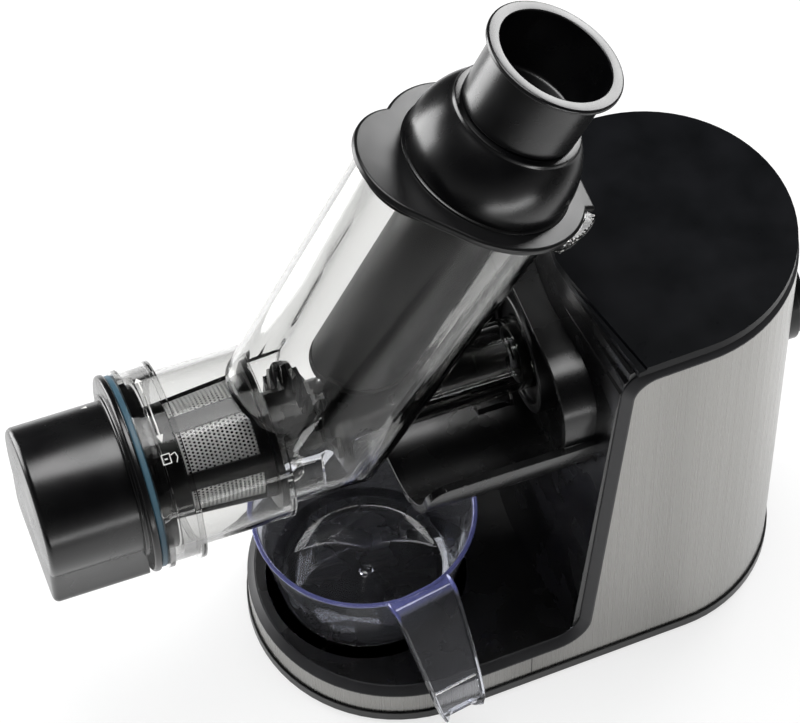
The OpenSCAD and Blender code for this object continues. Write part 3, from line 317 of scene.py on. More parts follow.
def rounded(corners, steps=5):
    """An outline whose corners (a, b, radius) are arcs; a radius of 0 keeps the corner."""
    out = []
    for i, (a, b, radius) in enumerate(corners):
        here = Vector((a, b))
        to_last = Vector(corners[i - 1][:2]) - here
        to_next = Vector(corners[(i + 1) % len(corners)][:2]) - here
        if not radius:
            out.append(here)
            continue
        half = to_last.angle(to_next) / 2
        reach = min(radius / math.tan(half), 0.49 * to_last.length, 0.49 * to_next.length)
        inward = (to_last.normalized() + to_next.normalized()).normalized()
        middle = here + inward * reach / math.cos(half)
        first = here + to_last.normalized() * reach - middle
        last = here + to_next.normalized() * reach - middle
        for k in range(steps + 1):
            share = k / steps
            spread = first.angle(last)
            out.append(middle + (first * math.sin((1 - share) * spread)
                                 + last * math.sin(share * spread)) / math.sin(spread))
    return out


def mesh_piece(name, build):
    """A new object whose mesh is made by build(bmesh), with its faces turned outward."""
    mesh = bpy.data.meshes.new(name)
    bm = bmesh.new()
    build(bm)
    bmesh.ops.remove_doubles(bm, verts=bm.verts, dist=1e-7)
    bmesh.ops.recalc_face_normals(bm, faces=bm.faces)
    bm.to_mesh(mesh)
    bm.free()
    piece = bpy.data.objects.new(name, mesh)
    bpy.context.scene.collection.objects.link(piece)
    return piece


def join_rings(bm, rings, closed=True, cap=False):
    """Faces between rings of points in millimetres; closed joins the last ring to the first."""
    made = [[bm.verts.new(Vector(p) * MM) for p in ring] for ring in rings]
    pairs = list(zip(made, made[1:])) + ([(made[-1], made[0])] if closed else [])
    for one, two in pairs:
        count = len(one)
        for k in range(count):
            four = [one[k], one[(k + 1) % count], two[(k + 1) % count], two[k]]
            if len({tuple(v.co) for v in four}) >= 3:
                bm.faces.new(four)
    if cap:
        bm.faces.new(made[0])
        bm.faces.new(made[-1])
    return made


def lathe(name, profile, place, sides=144):
    """Turns an outline of (radius, height) about the Z axis of a placing matrix, in millimetres."""
    def build(bm):
        rings = [[place @ Vector((p[0] * math.cos(2 * math.pi * k / sides),
                                  p[0] * math.sin(2 * math.pi * k / sides), p[1]))
                  for p in profile] for k in range(sides)]
        join_rings(bm, rings)
    return mesh_piece(name, build)


def finish(piece, look, body, slot, *replaced):
    """Gives a piece its material, its smooth faces, its body and the nodes it stands for; slot is not
    used.
    """
    piece.data.materials.clear()
    piece.data.materials.append(look)
    piece.data.shade_smooth()
    piece.data.set_sharp_from_angle(angle=math.radians(SHARP_DEG))
    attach(piece, body)
    if replaced:
        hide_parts(*replaced)
    print(piece.name, "faces:", len(piece.data.polygons))
    return piece


def on_chute(s):
    """The frame of the chute: Z up its axis, a way s down from the cup rim, in millimetres."""
    return (Matrix.Translation((RIM_X, 0, RIM_Z)) @ Matrix.Rotation(CHUTE_TILT, 4, "Y")
            @ Matrix.Translation((0, 0, -s)))


def along_drum(x):
    """The frame of the drum axis: Z runs back along +X from a station x, and X points down."""
    return Matrix.Translation((x, 0, AXIS_Z)) @ Matrix.Rotation(math.radians(90), 4, "Y")


def arc(middle_a, middle_b, radius, first, last, steps):
    """Points of an arc between two angles in degrees."""
    turns = [math.radians(first + (last - first) * k / steps) for k in range(steps + 1)]
    return [(middle_a + radius * math.cos(t), middle_b + radius * math.sin(t)) for t in turns]


def combine(piece, tool, operation):
    """Cuts a tool out of a piece, or joins it to the piece, and keeps the result as its mesh."""
    step = piece.modifiers.new("combine", "BOOLEAN")
    step.operation, step.object, step.solver = operation, tool, "EXACT"
    done = bpy.data.meshes.new_from_object(piece.evaluated_get(bpy.context.evaluated_depsgraph_get()))
    piece.modifiers.clear()
    piece.data = done
    bpy.data.objects.remove(tool)


def softened(node, name, width_mm):
    """A copy of a CAD node's mesh: flat faces joined again and sharp edges rounded by a bevel."""
    mesh = nodes[node].data.copy()
    bm = bmesh.new()
    bm.from_mesh(mesh)
    bmesh.ops.remove_doubles(bm, verts=bm.verts, dist=0.002 * MM)
    bmesh.ops.dissolve_limit(bm, angle_limit=math.radians(FLAT_DEG), verts=bm.verts, edges=bm.edges)
    bm.to_mesh(mesh)
    bm.free()
    for key in ("custom_normal", "sharp_face", "sharp_edge"):
        if key in mesh.attributes:
            mesh.attributes.remove(mesh.attributes[key])
    piece = bpy.data.objects.new(name, mesh)
    bpy.context.scene.collection.objects.link(piece)
    edges = piece.modifiers.new("rounded edges", "BEVEL")
    edges.width = width_mm * MM
    edges.segments = 3
    edges.limit_method = "ANGLE"
    edges.angle_limit = math.radians(EDGE_DEG)
    edges.use_clamp_overlap = True
    return piece


# %% [markdown]
# ## Shells that keep their CAD form
#
# Several shells have the right form already. Their flat faces are joined again and each sharp
# edge gets a small rounding, as every moulded edge has. The clear drum needs it most: light that
# bends in flat facets draws lines on the wall behind them.

# %% Softened shells
shells = [("tower_housing", "tower_shell", 0.8, gloss_abs), ("base_deck", "deck_shell", 0.8, gloss_abs),
          ("drum_cradle", "cradle_shell", 1.2, gloss_abs), ("top_cover", "cover_shell", 0.9, grained_abs),
          ("base_pan", "pan_shell", 0.8, satin_abs), ("coupling_collar", "collar_shell", 0.8, satin_abs),
          ("speed_knob", "knob_shell", 0.8, gloss_abs), ("knob_bezel", "bezel_shell", 0.5, satin_abs)]
for node_name, name, width, look in shells:
    finish(softened(node_name, name, width), look, "knob" if node_name == "speed_knob" else "base",
           slot_of[node_name], node_name)
finish(softened("drum", "drum_shell", 0.5), drum_clear, "drum_set", "clear", "drum")
finish(softened("strainer_cage", "cage_shell", 0.4), nylon, "drum_set", "satin_black", "strainer_cage")

# %% [markdown]
# ## End cap
#
# The end cap is a deep cup with a square spout below it, moulded in one. Its section is a circle
# that runs into two straight sides and two round corners. The section is drawn at several depths
# and the rings are joined, with smaller sections at the front so that its rim comes out round.

# %% End cap
CAP_R, SPOUT_W, SPOUT_D, SPOUT_C = 40.6, 36.0, 50.0, 10.0
CAP_FRONT, CAP_BACK, CAP_WALL, CAP_ROUND = -268, -216, 3, 3.2


def cap_ring(x, inset):
    """The section of the cap at a station, shrunk by an inset: a circle and a spout."""
    r, w, d, c = CAP_R - inset, SPOUT_W - inset, SPOUT_D - inset, max(SPOUT_C - inset, 1)
    low = math.degrees(math.acos(w / r))
    section = (arc(0, 0, r, -low, 180 + low, 72) + arc(-w + c, -d + c, c, 180, 270, 8)
               + arc(w - c, -d + c, c, 270, 360, 8))
    return [(x, y, AXIS_Z + z) for y, z in section]


def rim_steps(x, radius, steps=6):
    """Stations and insets of a rounded rim that starts at a flat face at x."""
    turns = [math.pi / 2 * k / steps for k in range(steps, -1, -1)]
    return [(x + radius * (1 - math.sin(t)), radius * (1 - math.cos(t))) for t in turns]


def build_cap(bm):
    """The outer form: a rounded rim, the walls and the back face."""
    rings = [cap_ring(x, inset) for x, inset in rim_steps(CAP_FRONT, CAP_ROUND)]
    rings.append(cap_ring(CAP_BACK, 0))
    join_rings(bm, rings, closed=False, cap=True)


def build_hollow(bm):
    """The space inside the cap."""
    join_rings(bm, [cap_ring(CAP_FRONT + CAP_WALL, CAP_WALL), cap_ring(CAP_BACK + 2, CAP_WALL)],
               closed=False, cap=True)


def build_mouth(bm):
    """The pulp opening in the floor of the spout, with round corners."""
    outline = rounded([(-262, -27, 4), (-222, -27, 4), (-222, 27, 4), (-262, 27, 4)])
    join_rings(bm, [[(p[0], p[1], z) for p in outline] for z in (150, 159.5)], closed=False, cap=True)


cap = mesh_piece("cap_shell", build_cap)
combine(cap, mesh_piece("cap_hollow", build_hollow), "DIFFERENCE")
combine(cap, mesh_piece("cap_mouth", build_mouth), "DIFFERENCE")
finish(cap, gloss_abs, "cap_set", "housing_black", "end_cap")

# %% [markdown]
# ## Flange, sleeve and gasket
#
# Behind the cup a flange closes the drum, and a sleeve reaches into it. They are turned shapes.
# The gasket between flange and drum is a plain silicone ring, a little smaller than the flange.

# %% Flange, sleeve, boss and gasket
def cap_turning(name, corners, look, slot, *replaced):
    """Turns corners of (radius, station, rounding) about the drum's axis, on the cap's body."""
    outline = [(r, x - CAP_BACK) for r, x in rounded(corners)]
    return finish(lathe(name, outline, along_drum(CAP_BACK)), look, "cap_set", slot, *replaced)


flange = [(37.6, -218, 0), (43.5, -218, 1.5), (43.5, -216, 1), (53, -216, 1.6), (53, -212, 1.2),
          (43.9, -212, 0), (43.9, -200, 0.8), (41.0, -200, 0.8), (37.6, -212, 0)]
boss = [(6.4, -265.5, 0), (9, -265.5, 0), (9, -246, 0.8), (6.4, -246, 0.6)]
ring = [(44.3, -211.9, 0), (51.6, -211.9, 0.9), (51.6, -208.4, 0.9), (44.3, -208.4, 0)]
cap_turning("cap_flange", flange, gloss_abs, "housing_black")
cap_turning("cap_boss", boss, gloss_abs, "housing_black")
cap_turning("cap_gasket_ring", ring, silicone, "silicone", "cap_gasket")

# %% [markdown]
# ## Lid plate
#
# The lid is a satin plate with a thumb nose and a hinge ear, and a polished dome that guides the
# pusher. The plate's outline is drawn from two circles, one tangent and the ear, which ends in a
# small step. Insets of that outline, stacked, round its edge.

# %% Lid plate
PLATE_R, NOSE_R, NOSE_U = 55.5, 36.5, 36.5
EAR_U, EAR_TOP, EAR_LOW, EAR_STEP = 54, -4, -27, 8
PLATE_T, EDGE_R, BORE_R = 4, 1.6, 40
lid_place = on_chute(78)


def plate_ring(z, inset):
    """The outline of the lid plate, shrunk by an inset, at a height on the chute axis."""
    big, nose = PLATE_R - inset, NOSE_R - inset
    tangent = math.degrees(math.acos((nose - big) / NOSE_U))
    meet = math.degrees(math.acos((big ** 2 - nose ** 2 + NOSE_U ** 2) / (2 * big * NOSE_U)))
    side = math.degrees(math.atan2(big * math.sin(math.radians(meet)),
                                   NOSE_U - big * math.cos(math.radians(meet))))
    edge, notch = EAR_U - inset, EAR_LOW + inset
    ear = rounded([(edge, EAR_TOP, 0), (edge, notch, 0.8), (EAR_U - EAR_STEP, notch, 0)], 3)[:-1]
    outline = ([(p[0], p[1]) for p in ear][::-1] + arc(0, 0, big, -4, 180 - meet, 44)
               + arc(-NOSE_U, 0, nose, side, 360 - tangent, 30)[1:]
               + arc(0, 0, big, -tangent, math.degrees(math.asin(notch / big)), 26))
    return [lid_place @ Vector((u, v, z)) for u, v in outline]


def build_plate(bm):
    """A plate with a rounded upper edge and a small lower one."""
    rings = [plate_ring(-PLATE_T, 0.6), plate_ring(0.6 - PLATE_T, 0), plate_ring(-EDGE_R, 0)]
    rings += [plate_ring(EDGE_R * (math.sin(t) - 1), EDGE_R * (1 - math.cos(t)))
              for t in (math.radians(18 * k) for k in range(1, 6))]
    join_rings(bm, rings, closed=False, cap=True)


def build_bore(bm):
    """The hole in the plate for the pusher."""
    join_rings(bm, [[lid_place @ Vector((p[0], p[1], z)) for p in arc(0, 0, BORE_R, 0, 355, 71)]
                    for z in (-PLATE_T - 2, 2)], closed=False, cap=True)


plate = mesh_piece("lid_plate", build_plate)
combine(plate, mesh_piece("lid_bore", build_bore), "DIFFERENCE")
finish(plate, satin_abs, "lid_set", "housing_black", "lid")

# %% [markdown]
# ## Dome and skirt
#
# The dome is part of a sphere, turned with its foot ring, its neck ring and its inner wall in one
# profile. Below the plate a thin skirt follows the keyhole shape of the chute and centres the lid.

# %% Dome with its neck ring, and the skirt in the chute's mouth
DOME_R, DOME_WALL, DOME_Z = 45, 3, 6
dome = [(BORE_R, -PLATE_T), (46.0, -PLATE_T), (46.0, 0.5), (45.8, 0.9), (45.3, 1.2), (44.6, 1.4)]
dome += arc(0, DOME_Z, DOME_R, -4, 39.5, 24)
dome += [(34.4, 35.2), (34.4, 36.2), (34.0, 36.8), (33.4, 37.0), (26.4, 37.0), (26.1, 36.7),
         (26.1, 33.6), (31, 33.6)]
dome += arc(0, DOME_Z, DOME_R - DOME_WALL, 41, -12, 20)
finish(lathe("lid_dome", dome, lid_place, 160), gloss_abs, "lid_set", "housing_black")


def keyhole_ring(big, nose, z):
    """A circle and a smaller nose joined by tangents, at a height on the chute axis."""
    tangent = math.degrees(math.acos((nose - big) / NOSE_U))
    outline = (arc(0, 0, big, -tangent, tangent, 48)
               + arc(-NOSE_U, 0, nose, tangent, 360 - tangent, 32))
    return [lid_place @ Vector((u, v, z)) for u, v in outline]


def build_skirt(bm):
    """The thin wall that centres the lid in the chute."""
    steps = ((0, -3.9), (0, -12.6), (0.4, -13), (1.6, -13), (2, -12.6), (2, -3.9))
    join_rings(bm, [keyhole_ring(43.0 - inset, 26.3 - inset, z) for inset, z in steps])


finish(mesh_piece("lid_skirt", build_skirt), satin_abs, "lid_set", "housing_black")

# %% [markdown]
# ## Pusher
#
# The pusher is a cup with a flange for the fingers and a long tube below it. The cup is one
# turned profile: its floor, its wall that widens upward and the flange with round edges.

# %% Pusher cup
cup = rounded([(0, -37.6, 0), (14.2, -37.6, 0.3), (14.2, -37.0, 0.3), (12.6, -37.0, 0.3),
               (12.6, -37.6, 0), (29.0, -37.6, 2), (29.8, 0, 0.8), (36.4, 0, 1.2), (36.4, -3, 1.0),
               (31.4, -3, 1.4), (30.9, -40.6, 1.0), (0, -40.6, 0)])
finish(lathe("pusher_cup", cup, on_chute(0), 160), gloss_abs, "pusher_set", "housing_black",
       "pusher")

# %% [markdown]
# ## Pusher tube and foot
#
# The tube ends level above the auger, so its lower end is a slanted cut: each point of that ring
# goes down the axis until it reaches the level plane. A soft foot closes it.

# %% Pusher tube and foot
TUBE_R, TUBE_WALL, TUBE_TOP, SOLE_TOP, SOLE_T = 25.5, 2, 40, 252, 3


def level_ring(radius, z):
    """The ring where a tube round the chute axis meets a level plane at a height z."""
    ring = []
    for u, v in arc(0, 0, radius, 0, 357, 119):
        s = (RIM_Z - z - u * math.sin(CHUTE_TILT)) / math.cos(CHUTE_TILT)
        ring.append(on_chute(s) @ Vector((u, v, 0)))
    return ring


def chute_ring(radius, s):
    """A ring round the chute axis, square to it."""
    return [on_chute(s) @ Vector((u, v, 0)) for u, v in arc(0, 0, radius, 0, 357, 119)]


def build_tube(bm):
    """Outer and inner wall of the tube, closed at both ends."""
    inner = TUBE_R - TUBE_WALL
    join_rings(bm, [chute_ring(TUBE_R, TUBE_TOP), level_ring(TUBE_R, SOLE_TOP + 1),
                    level_ring(TUBE_R - 0.4, SOLE_TOP), level_ring(inner, SOLE_TOP),
                    chute_ring(inner, TUBE_TOP)])


def build_foot(bm):
    """The soft foot that closes the tube, with rounded rims."""
    steps = ((0.2, 0), (0, 0.6), (0, SOLE_T - 0.6), (0.6, SOLE_T))
    join_rings(bm, [level_ring(TUBE_R - inset, SOLE_TOP - down) for inset, down in steps],
               closed=False, cap=True)


finish(mesh_piece("pusher_tube", build_tube), nylon, "pusher_set", "housing_black")
finish(mesh_piece("pusher_sole", build_foot), foot_rubber, "pusher_set", "rubber_black", "pusher_foot")

# %% [markdown]
# ## Jug
#
# The jug is turned from one profile with a foot ring, a thick rim and a nub on its floor where
# the mould was filled.

# %% Jug bowl
jug_place = Matrix.Translation((-86.2, 0, 28))
bowl = rounded([(0, 1.6, 0), (39.8, 1.6, 0.6), (41.4, 0, 0.5), (44.2, 0, 2), (49.0, 2.6, 3),
                (61.2, 67.4, 0.8), (62.4, 68.8, 0.5), (62.4, 70, 0.8), (60.1, 70, 0.9), (59.0, 66, 1),
                (46.6, 7.6, 3), (43.0, 4.4, 2), (4, 4.0, 0.5), (3.4, 5.4, 0.8), (0, 5.6, 0)], 4)
jug = lathe("jug_bowl", bowl, jug_place, 160)
print("jug bowl faces:", len(jug.data.polygons))

# %% [markdown]
# ## Jug handle
#
# The handle is a ribbon with two raised sides that falls away from the rim in a soft curve. It is
# joined to the wall, so that light finds no hidden face between them.

# %% Jug handle
HANDLE_TURN = math.radians(-80)


def build_handle(bm):
    """A channel section carried down a curve: (distance from the jug's axis, height, half width)."""
    path = [(59.6, 68.4, 19), (62.5, 68.6, 19), (66, 67.6, 18.6), (71, 62.8, 18.2),
            (77, 55.4, 17.6), (84, 46.4, 16.8), (91, 37, 16), (97.5, 27.6, 15.2),
            (102.6, 18.6, 14.4), (105.0, 13.4, 13.4), (105.6, 10.9, 12.0), (104.6, 9.8, 9.6),
            (102.6, 9.6, 7.0)]
    rings = []
    for i, (a, b, w) in enumerate(path):
        last, after = path[max(i - 1, 0)], path[min(i + 1, len(path) - 1)]
        run = Vector((after[0] - last[0], after[1] - last[1])).normalized()
        out = Vector((-run.y, run.x))
        side = 1.3 + 2.4 * min(1, i / 2)
        half = [(w, -1.1), (w, side), (w - 0.7, side + 0.6), (w - 1.6, side), (w - 2.0, 1.2)]
        channel = [(-w, -1.1)] + half + [(-y, h) for y, h in half[:0:-1]]
        rings.append([jug_place @ (Matrix.Rotation(HANDLE_TURN, 4, "Z")
                                   @ Vector((a + out.x * h, y, b + out.y * h)))
                      for y, h in channel])
    join_rings(bm, rings, closed=False, cap=True)


combine(jug, mesh_piece("jug_handle_tool", build_handle), "UNION")
finish(jug, jug_clear, "jug_set", "clear", "jug")

# %% [markdown]
# ## Trim along the steel
#
# A dark chamfered trim follows the steel's edge round the deck, up the swoop and round the tower.
# One section is carried along a path. Each station of the path knows its place for any inset
# from the base outline and the direction in which the steel stays open.

# %% Trim
FRONT_X, FRONT_R, BACK_X, BACK_R = -68, 85.5, 73, 80
BAND_TOP, STEEL_TOP = 26, 268
TURN = math.acos((FRONT_R - BACK_R) / (BACK_X - FRONT_X))
FOOT_R, TOP_R = 20, 14
LEAN = math.atan(15.9 / 202)


def half_width(x, inset):
    """Half of the width of the base outline at a station between its two arcs."""
    x0, y0 = FRONT_X + (FRONT_R - inset) * math.cos(TURN), (FRONT_R - inset) * math.sin(TURN)
    x1, y1 = BACK_X + (BACK_R - inset) * math.cos(TURN), (BACK_R - inset) * math.sin(TURN)
    return y0 + (y1 - y0) * (x - x0) / (x1 - x0)


def swoop_path():
    """Side view of the steel's edge: (x, z, open direction x, open direction z)."""
    quarter = math.pi / 2 - LEAN
    foot_x = 18.1 - 6 * math.tan(LEAN) - FOOT_R
    path = [(x, BAND_TOP, 0, 1) for x in (-60, -40, -20)]
    for k in range(15):
        c, s = math.cos(quarter * k / 14 - math.pi / 2), math.sin(quarter * k / 14 - math.pi / 2)
        path.append((foot_x + FOOT_R * c, BAND_TOP + FOOT_R * (1 + s), -c, -s))
    for k in range(15):
        c, s = math.cos(math.pi - LEAN - quarter * k / 14), math.sin(math.pi - LEAN - quarter * k / 14)
        path.append((48 + TOP_R * c, STEEL_TOP - TOP_R * (1 - s), c, s))
    return path + [(60, STEEL_TOP, 0, 1), (70, STEEL_TOP, 0, 1)]


def trim_stations():
    """The whole loop as functions of the inset, each with its open direction."""
    turn = math.degrees(TURN)
    loop = []

    def on_arc(x, r, z, a):
        c, s = math.cos(math.radians(a)), math.sin(math.radians(a))
        loop.append((lambda i: Vector((x + (r - i) * c, (r - i) * s, z)), Vector((0, 0, 1))))

    def on_side(x, z, mx, mz, side):
        loop.append((lambda i: Vector((x, side * half_width(x, i), z)), Vector((mx, 0, mz))))

    for k in range(40):
        on_arc(FRONT_X, FRONT_R, BAND_TOP, 180 - (180 - turn) * k / 39)
    for x, z, mx, mz in swoop_path():
        on_side(x, z, mx, mz, 1)
    for k in range(61):
        on_arc(BACK_X, BACK_R, STEEL_TOP, turn - 2 * turn * k / 60)
    for x, z, mx, mz in reversed(swoop_path()):
        on_side(x, z, mx, mz, -1)
    for k in range(39):
        on_arc(FRONT_X, FRONT_R, BAND_TOP, -turn - (180 - turn) * k / 39)
    return loop


trim_section = rounded([(1.25, 0, 0), (1.25, 0.9, 0.5), (5.2, 5.4, 0.5), (6.0, 5.4, 0),
                        (6.0, 0, 0)], 3)


def build_trim(bm):
    """The section at each station of the loop."""
    join_rings(bm, [[at_inset(p[0]) + way * p[1] for p in trim_section]
                    for at_inset, way in trim_stations()])


finish(mesh_piece("edge_trim_strip", build_trim), trim_abs, "base", "trim_grey", "edge_trim")

# %% [markdown]
# ## Strainer screen
#
# Real screens are etched with holes about half a millimetre wide. The picture can't show those,
# so the sheet has staggered holes 1.3 mm wide, cut as geometry: each cell is a square with an
# eight-sided hole, and the cells are wrapped round the cone.

# %% Screen
ROWS, AROUND, HOLE_SHARE, SHEET_T = 26, 96, 0.32, 0.35
SCREEN_FRONT, SCREEN_BACK, SCREEN_R0, SCREEN_R1 = -200.5, -143.2, 27.9, 31.7


def on_cylinder(x, r, angle):
    """A point round the drum's axis, in millimetres; an angle of 0 is the top."""
    return Vector((x, r * math.sin(angle), AXIS_Z + r * math.cos(angle)))


def build_screen(bm):
    """Rows of cells round the cone, each a square frame of eight faces round its hole."""
    def on_cone(a, b):
        x = SCREEN_FRONT + (SCREEN_BACK - SCREEN_FRONT) * a / ROWS
        r = SCREEN_R0 + (SCREEN_R1 - SCREEN_R0) * a / ROWS
        return bm.verts.new(on_cylinder(x, r, 2 * math.pi * b / AROUND) * MM)

    square = [(1, 0.5), (1, 1), (0.5, 1), (0, 1), (0, 0.5), (0, 0), (0.5, 0), (1, 0)]
    hole = arc(0.5, 0.5, HOLE_SHARE, 0, 315, 7)
    for a in range(ROWS):
        for b in range(AROUND):
            shift = b + 0.5 * (a % 2)
            outer = [on_cone(a + p, shift + q) for p, q in square]
            inner = [on_cone(a + p, shift + q) for p, q in hole]
            for k in range(8):
                bm.faces.new((outer[k], outer[(k + 1) % 8], inner[(k + 1) % 8], inner[k]))


screen = mesh_piece("screen_sheet", build_screen)
thick = screen.modifiers.new("thickness", "SOLIDIFY")
thick.thickness = SHEET_T * MM
thick.offset = 0
finish(screen, screen_steel, "drum_set", "screen", "strainer_screen")

# %% [markdown]
# ## Printed marks
#
# The twist ring carries an arrow with two heads and a small open padlock, and the cap a
# triangle: the usual signs for turning a cap shut. They are white ink, a tenth of a millimetre
# thick, so each is a thin raised shape that follows its cylinder.

# %% Marks
ink = moulded("white_ink", "#c9c9c6", "#dedddb", 0.45, 0.4, 0.01)
RING_R, INK_LOW, INK_HIGH = 51, 0.02, 0.14


def printed(name, radius, shapes, body):
    """Thin raised polygons on the drum's cylinders: each point is (station, angle in degrees)."""
    def build(bm):
        for shape in shapes:
            rings = [[on_cylinder(x, radius + lift, math.radians(a)) for x, a in shape]
                     for lift in (INK_LOW, INK_HIGH)]
            join_rings(bm, rings, closed=False, cap=True)
    slot = "clear" if body == "drum_set" else "housing_black"
    return finish(mesh_piece(name, build), ink, body, slot)


def stroke(x0, a0, x1, a1, width, pieces=6):
    """A line as a thin polygon that bends with the twist ring."""
    per = math.degrees(1 / RING_R)
    dx, da = x1 - x0, (a1 - a0) / per
    size = math.hypot(dx, da)
    nx, na = -da / size * width / 2, dx / size * width / 2 * per
    along = [(x0 + dx * k / pieces, a0 + (a1 - a0) * k / pieces) for k in range(pieces + 1)]
    return [(x + nx, a + na) for x, a in along] + [(x - nx, a - na) for x, a in reversed(along)]


arrow = [stroke(-197.8, 25, -197.8, -17, 0.8, pieces=16),
         [(-197.8, 29.5), (-199.8, 24.5), (-195.8, 24.5)],
         [(-197.8, -21.5), (-195.8, -16.5), (-199.8, -16.5)]]
lock = [stroke(-200.4, -28, -200.4, -34, 0.55), stroke(-196.2, -28, -196.2, -34, 0.55),
        stroke(-200.4, -28.2, -196.2, -28.2, 0.55), stroke(-200.4, -33.8, -196.2, -33.8, 0.55),
        stroke(-199.2, -31, -197.6, -31, 0.8), stroke(-195.8, -29.5, -193.2, -28.5, 0.5),
        stroke(-193.2, -28.5, -192.4, -31.5, 0.5), stroke(-192.4, -31.5, -193.6, -34.5, 0.5)]
printed("ring_marks", RING_R, arrow + lock, "drum_set")
printed("cap_mark", CAP_R, [[(-228.4, 40.5), (-225.2, 43.0), (-225.2, 38.0)]], "cap_set")


# %% [markdown]
# ## Small details
#
# Where the band round the deck meets the tower's steel there is a fine seam. Under the lid's ear
# the drum has a clear knuckle with ribs that the ear hooks on. Both are small, and both are
# what the eye expects at those places.

# %% Seam and knuckle
SEAM_X, SEAM_W, STEEL_INSET = -18.3, 0.5, 1.2
KNUCKLE_FIRST, KNUCKLE_SWEEP, KNUCKLE_STEPS, TOOTH = -31, 30, 60, 0.7


def build_seam(bm):
    """A thin dark strip on each side of the band."""
    corners = ((SEAM_X, 0.3), (SEAM_X + SEAM_W, 0.3), (SEAM_X + SEAM_W, -0.03), (SEAM_X, -0.03))
    for side in (-1, 1):
        rings = [[(x, side * (half_width(x, STEEL_INSET) - d), z) for x, d in corners]
                 for z in (9.4, BAND_TOP - 0.4)]
        join_rings(bm, rings, closed=False, cap=True)


finish(mesh_piece("band_seam", build_seam), nylon, "base", "trim_grey")


def build_knuckle(bm):
    """A curved clear rib beside the plate, with small teeth on its outer side."""
    rings = []
    for k in range(KNUCKLE_STEPS + 1):
        angle = math.radians(KNUCKLE_FIRST - KNUCKLE_SWEEP * k / KNUCKLE_STEPS)
        outer = 61 - 4.2 * k / KNUCKLE_STEPS + (TOOTH if k % 6 < 3 else 0)
        section = ((56.1, -0.7), (outer - 1, -0.7), (outer, -1.8), (outer - 1.2, -9), (50, -13),
                   (48, -5), (56.1, -5))
        rings.append([lid_place @ Vector((r * math.cos(angle), r * math.sin(angle), z))
                      for r, z in section])
    join_rings(bm, rings, closed=False, cap=True)


finish(mesh_piece("lid_knuckle", build_knuckle), drum_clear, "drum_set", "clear")

# %% [markdown]
# ## Studio floor
#
# The picture is a plain studio shot on white. The floor is white paper that keeps a soft shadow
# near the juicer and glows for the camera, more so far away. The juicer itself sees only the
# near part of the paper: farther out it is dark in every reflection, as black screens round a
# studio table would be, so that black stays black and the drum stays clear.

# %% Floor
NEAR, FAR = 0.42, 0.85
SHADOW_NEAR, SHADOW_FAR = 0.6, 1.3
CAMERA_GLOW, MIRROR_GLOW = 0.7, 0.4


def build_floor(bm):
    """A wide sheet a little below the feet that curls up far behind, in metres."""
    rows = [(-2.4, 0), (2.4, 0), (3.2, 0.12), (3.8, 0.6), (4.0, 1.6)]
    lines = [[bm.verts.new((x, y, z - 0.0002)) for x in (-4, -1.3, 1.3, 4)] for y, z in rows]
    for low, high in zip(lines, lines[1:]):
        for k in range(3):
            bm.faces.new((low[k], low[k + 1], high[k + 1], high[k]))


def rays_of(tree):
    """Which rays come from the camera, and which were mirrored or went through something clear."""
    rays = add(tree, "LightPath")
    mirrored = add(tree, "Math", {"operation": "MAXIMUM"}, {0: rays.outputs["Is Glossy Ray"],
                                                             1: rays.outputs["Is Transmission Ray"]})
    return rays.outputs["Is Camera Ray"], mirrored.outputs[0]


floor = mesh_piece("studio_floor", build_floor)
paper, tree, shader, place = start("studio_paper", Roughness=0.9)
seen, mirrored = rays_of(tree)
flat = add(tree, "VectorMath", {"operation": "MULTIPLY", 1: (1, 1, 0)}, {0: place})
away = add(tree, "VectorMath", {"operation": "LENGTH"}, {0: flat.outputs["Vector"]})
fall = add(tree, "MapRange", {"interpolation_type": "SMOOTHSTEP", "From Min": NEAR, "From Max": FAR,
                              "To Min": 1.0, "To Max": 0.04}, {"Value": away.outputs["Value"]})
pale = add(tree, "Math", {"operation": "MAXIMUM"}, {0: fall.outputs["Result"], 1: seen})
tone = add(tree, "MixRGB", {"Color1": (0, 0, 0, 1), "Color2": linear("#f6f6f6")},
           {"Fac": pale.outputs[0]})
tree.links.new(tone.outputs["Color"], shader.inputs["Base Color"])
dimmer = add(tree, "Math", {"operation": "MULTIPLY", 1: MIRROR_GLOW}, {0: mirrored})
clean = add(tree, "MapRange", {"interpolation_type": "SMOOTHSTEP", "From Min": SHADOW_NEAR,
                               "From Max": SHADOW_FAR, "To Min": CAMERA_GLOW, "To Max": 1.0},
            {"Value": away.outputs["Value"]})
direct = add(tree, "Math", {"operation": "MULTIPLY"}, {0: seen, 1: clean.outputs["Result"]})
share = add(tree, "Math", {"operation": "MAXIMUM"}, {0: dimmer.outputs[0], 1: direct.outputs[0]})
glow = add(tree, "Emission", {"Strength": 1.0}, {"Color": pale.outputs[0]})
blend = add(tree, "MixShader", {}, {0: share.outputs[0], 1: shader.outputs[0], 2: glow.outputs[0]})
tree.links.new(blend.outputs[0], tree.nodes["Material Output"].inputs["Surface"])
floor.data.materials.append(paper)
print("floor:", floor.name, paper.name)

# %% [markdown]
# ## World
#
# The camera sees a plain white world. Gloss and clear plastic see a dim room, a little brighter
# near the horizon, and matt surfaces get an even fill.

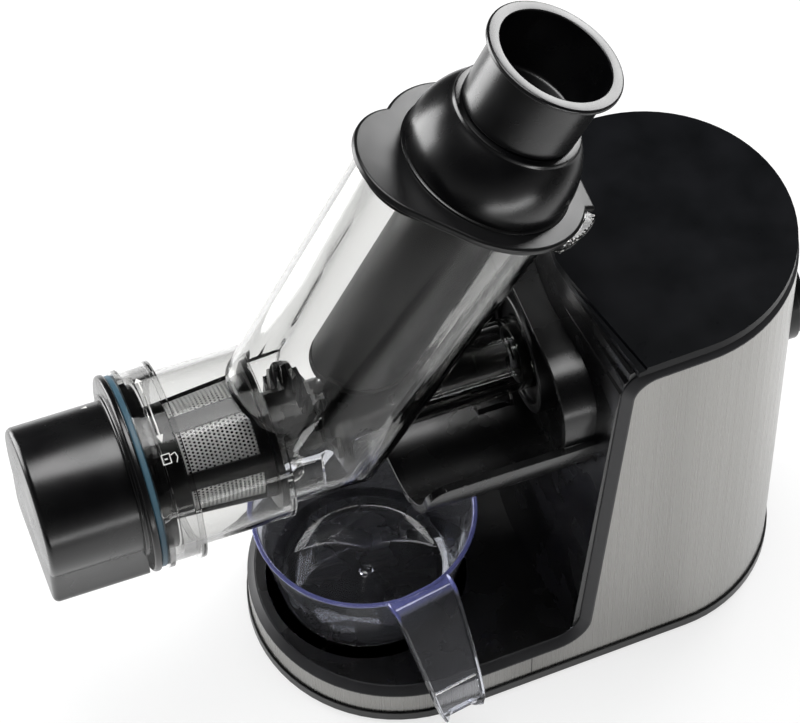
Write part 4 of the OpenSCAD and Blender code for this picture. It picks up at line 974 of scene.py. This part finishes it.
# %% World
world = bpy.data.worlds.new("studio")
bpy.context.scene.world = world
world.use_nodes = True
tree = world.node_tree
seen, mirrored = rays_of(tree)
direction = add(tree, "SeparateXYZ", {}, {"Vector": add(tree, "TexCoord").outputs["Generated"]})
overhead = add(tree, "MapRange", {"From Min": 0.02, "From Max": 0.42, "To Min": 0.25, "To Max": 0.02},
               {"Value": direction.outputs["Z"]})
room = add(tree, "Background", {"Color": (1, 1, 1, 1)}, {"Strength": overhead.outputs["Result"]})
fill = add(tree, "Background", {"Color": (1, 1, 1, 1), "Strength": 0.5})
white = add(tree, "Background", {"Color": (1, 1, 1, 1), "Strength": 1.0})
lit = add(tree, "MixShader", {}, {0: mirrored, 1: fill.outputs[0], 2: room.outputs[0]})
blend = add(tree, "MixShader", {}, {0: seen, 1: lit.outputs[0], 2: white.outputs[0]})
tree.links.new(blend.outputs[0], tree.nodes["World Output"].inputs["Surface"])
print("world:", world.name)


# %% [markdown]
# ## Lamps
#
# Large soft boxes give the long highlights on gloss: one above, one behind on the right and one
# behind on the left. Two more lie flat on the floor, behind on the left and in front, and shine
# upward. The camera doesn't see them.

# %% Lamps
def soft_box(name, place, aim, wide, high, watts):
    """A rectangular lamp that faces a point, all in metres."""
    lamp = bpy.data.lights.new(name, "AREA")
    lamp.shape = "RECTANGLE"
    lamp.size, lamp.size_y, lamp.energy = wide, high, watts
    shown = bpy.data.objects.new(name, lamp)
    bpy.context.scene.collection.objects.link(shown)
    shown.location = place
    shown.rotation_euler = (Vector(place) - Vector(aim)).to_track_quat("Z", "Y").to_euler()
    shown.visible_camera = False
    print(name, watts, "W")


soft_box("top_box", (0.1, 0.16, 1.85), (0.0, 0, 0.25), 1.2, 0.9, 24)
soft_box("back_box", (1.3, 0.98, 0.8), (0.0, 0, 0.3), 0.8, 0.6, 15)
soft_box("left_box", (-1.02, 0.92, 0.48), (-0.04, 0, 0.38), 0.95, 0.9, 20)
soft_box("bounce_box", (-0.75, 0.78, 0.01), (-0.75, 0.78, 1.0), 0.7, 0.7, 8.5)
soft_box("low_box", (0.0, -1.35, 0.01), (0.0, -1.35, 1.0), 1.2, 0.5, 20)
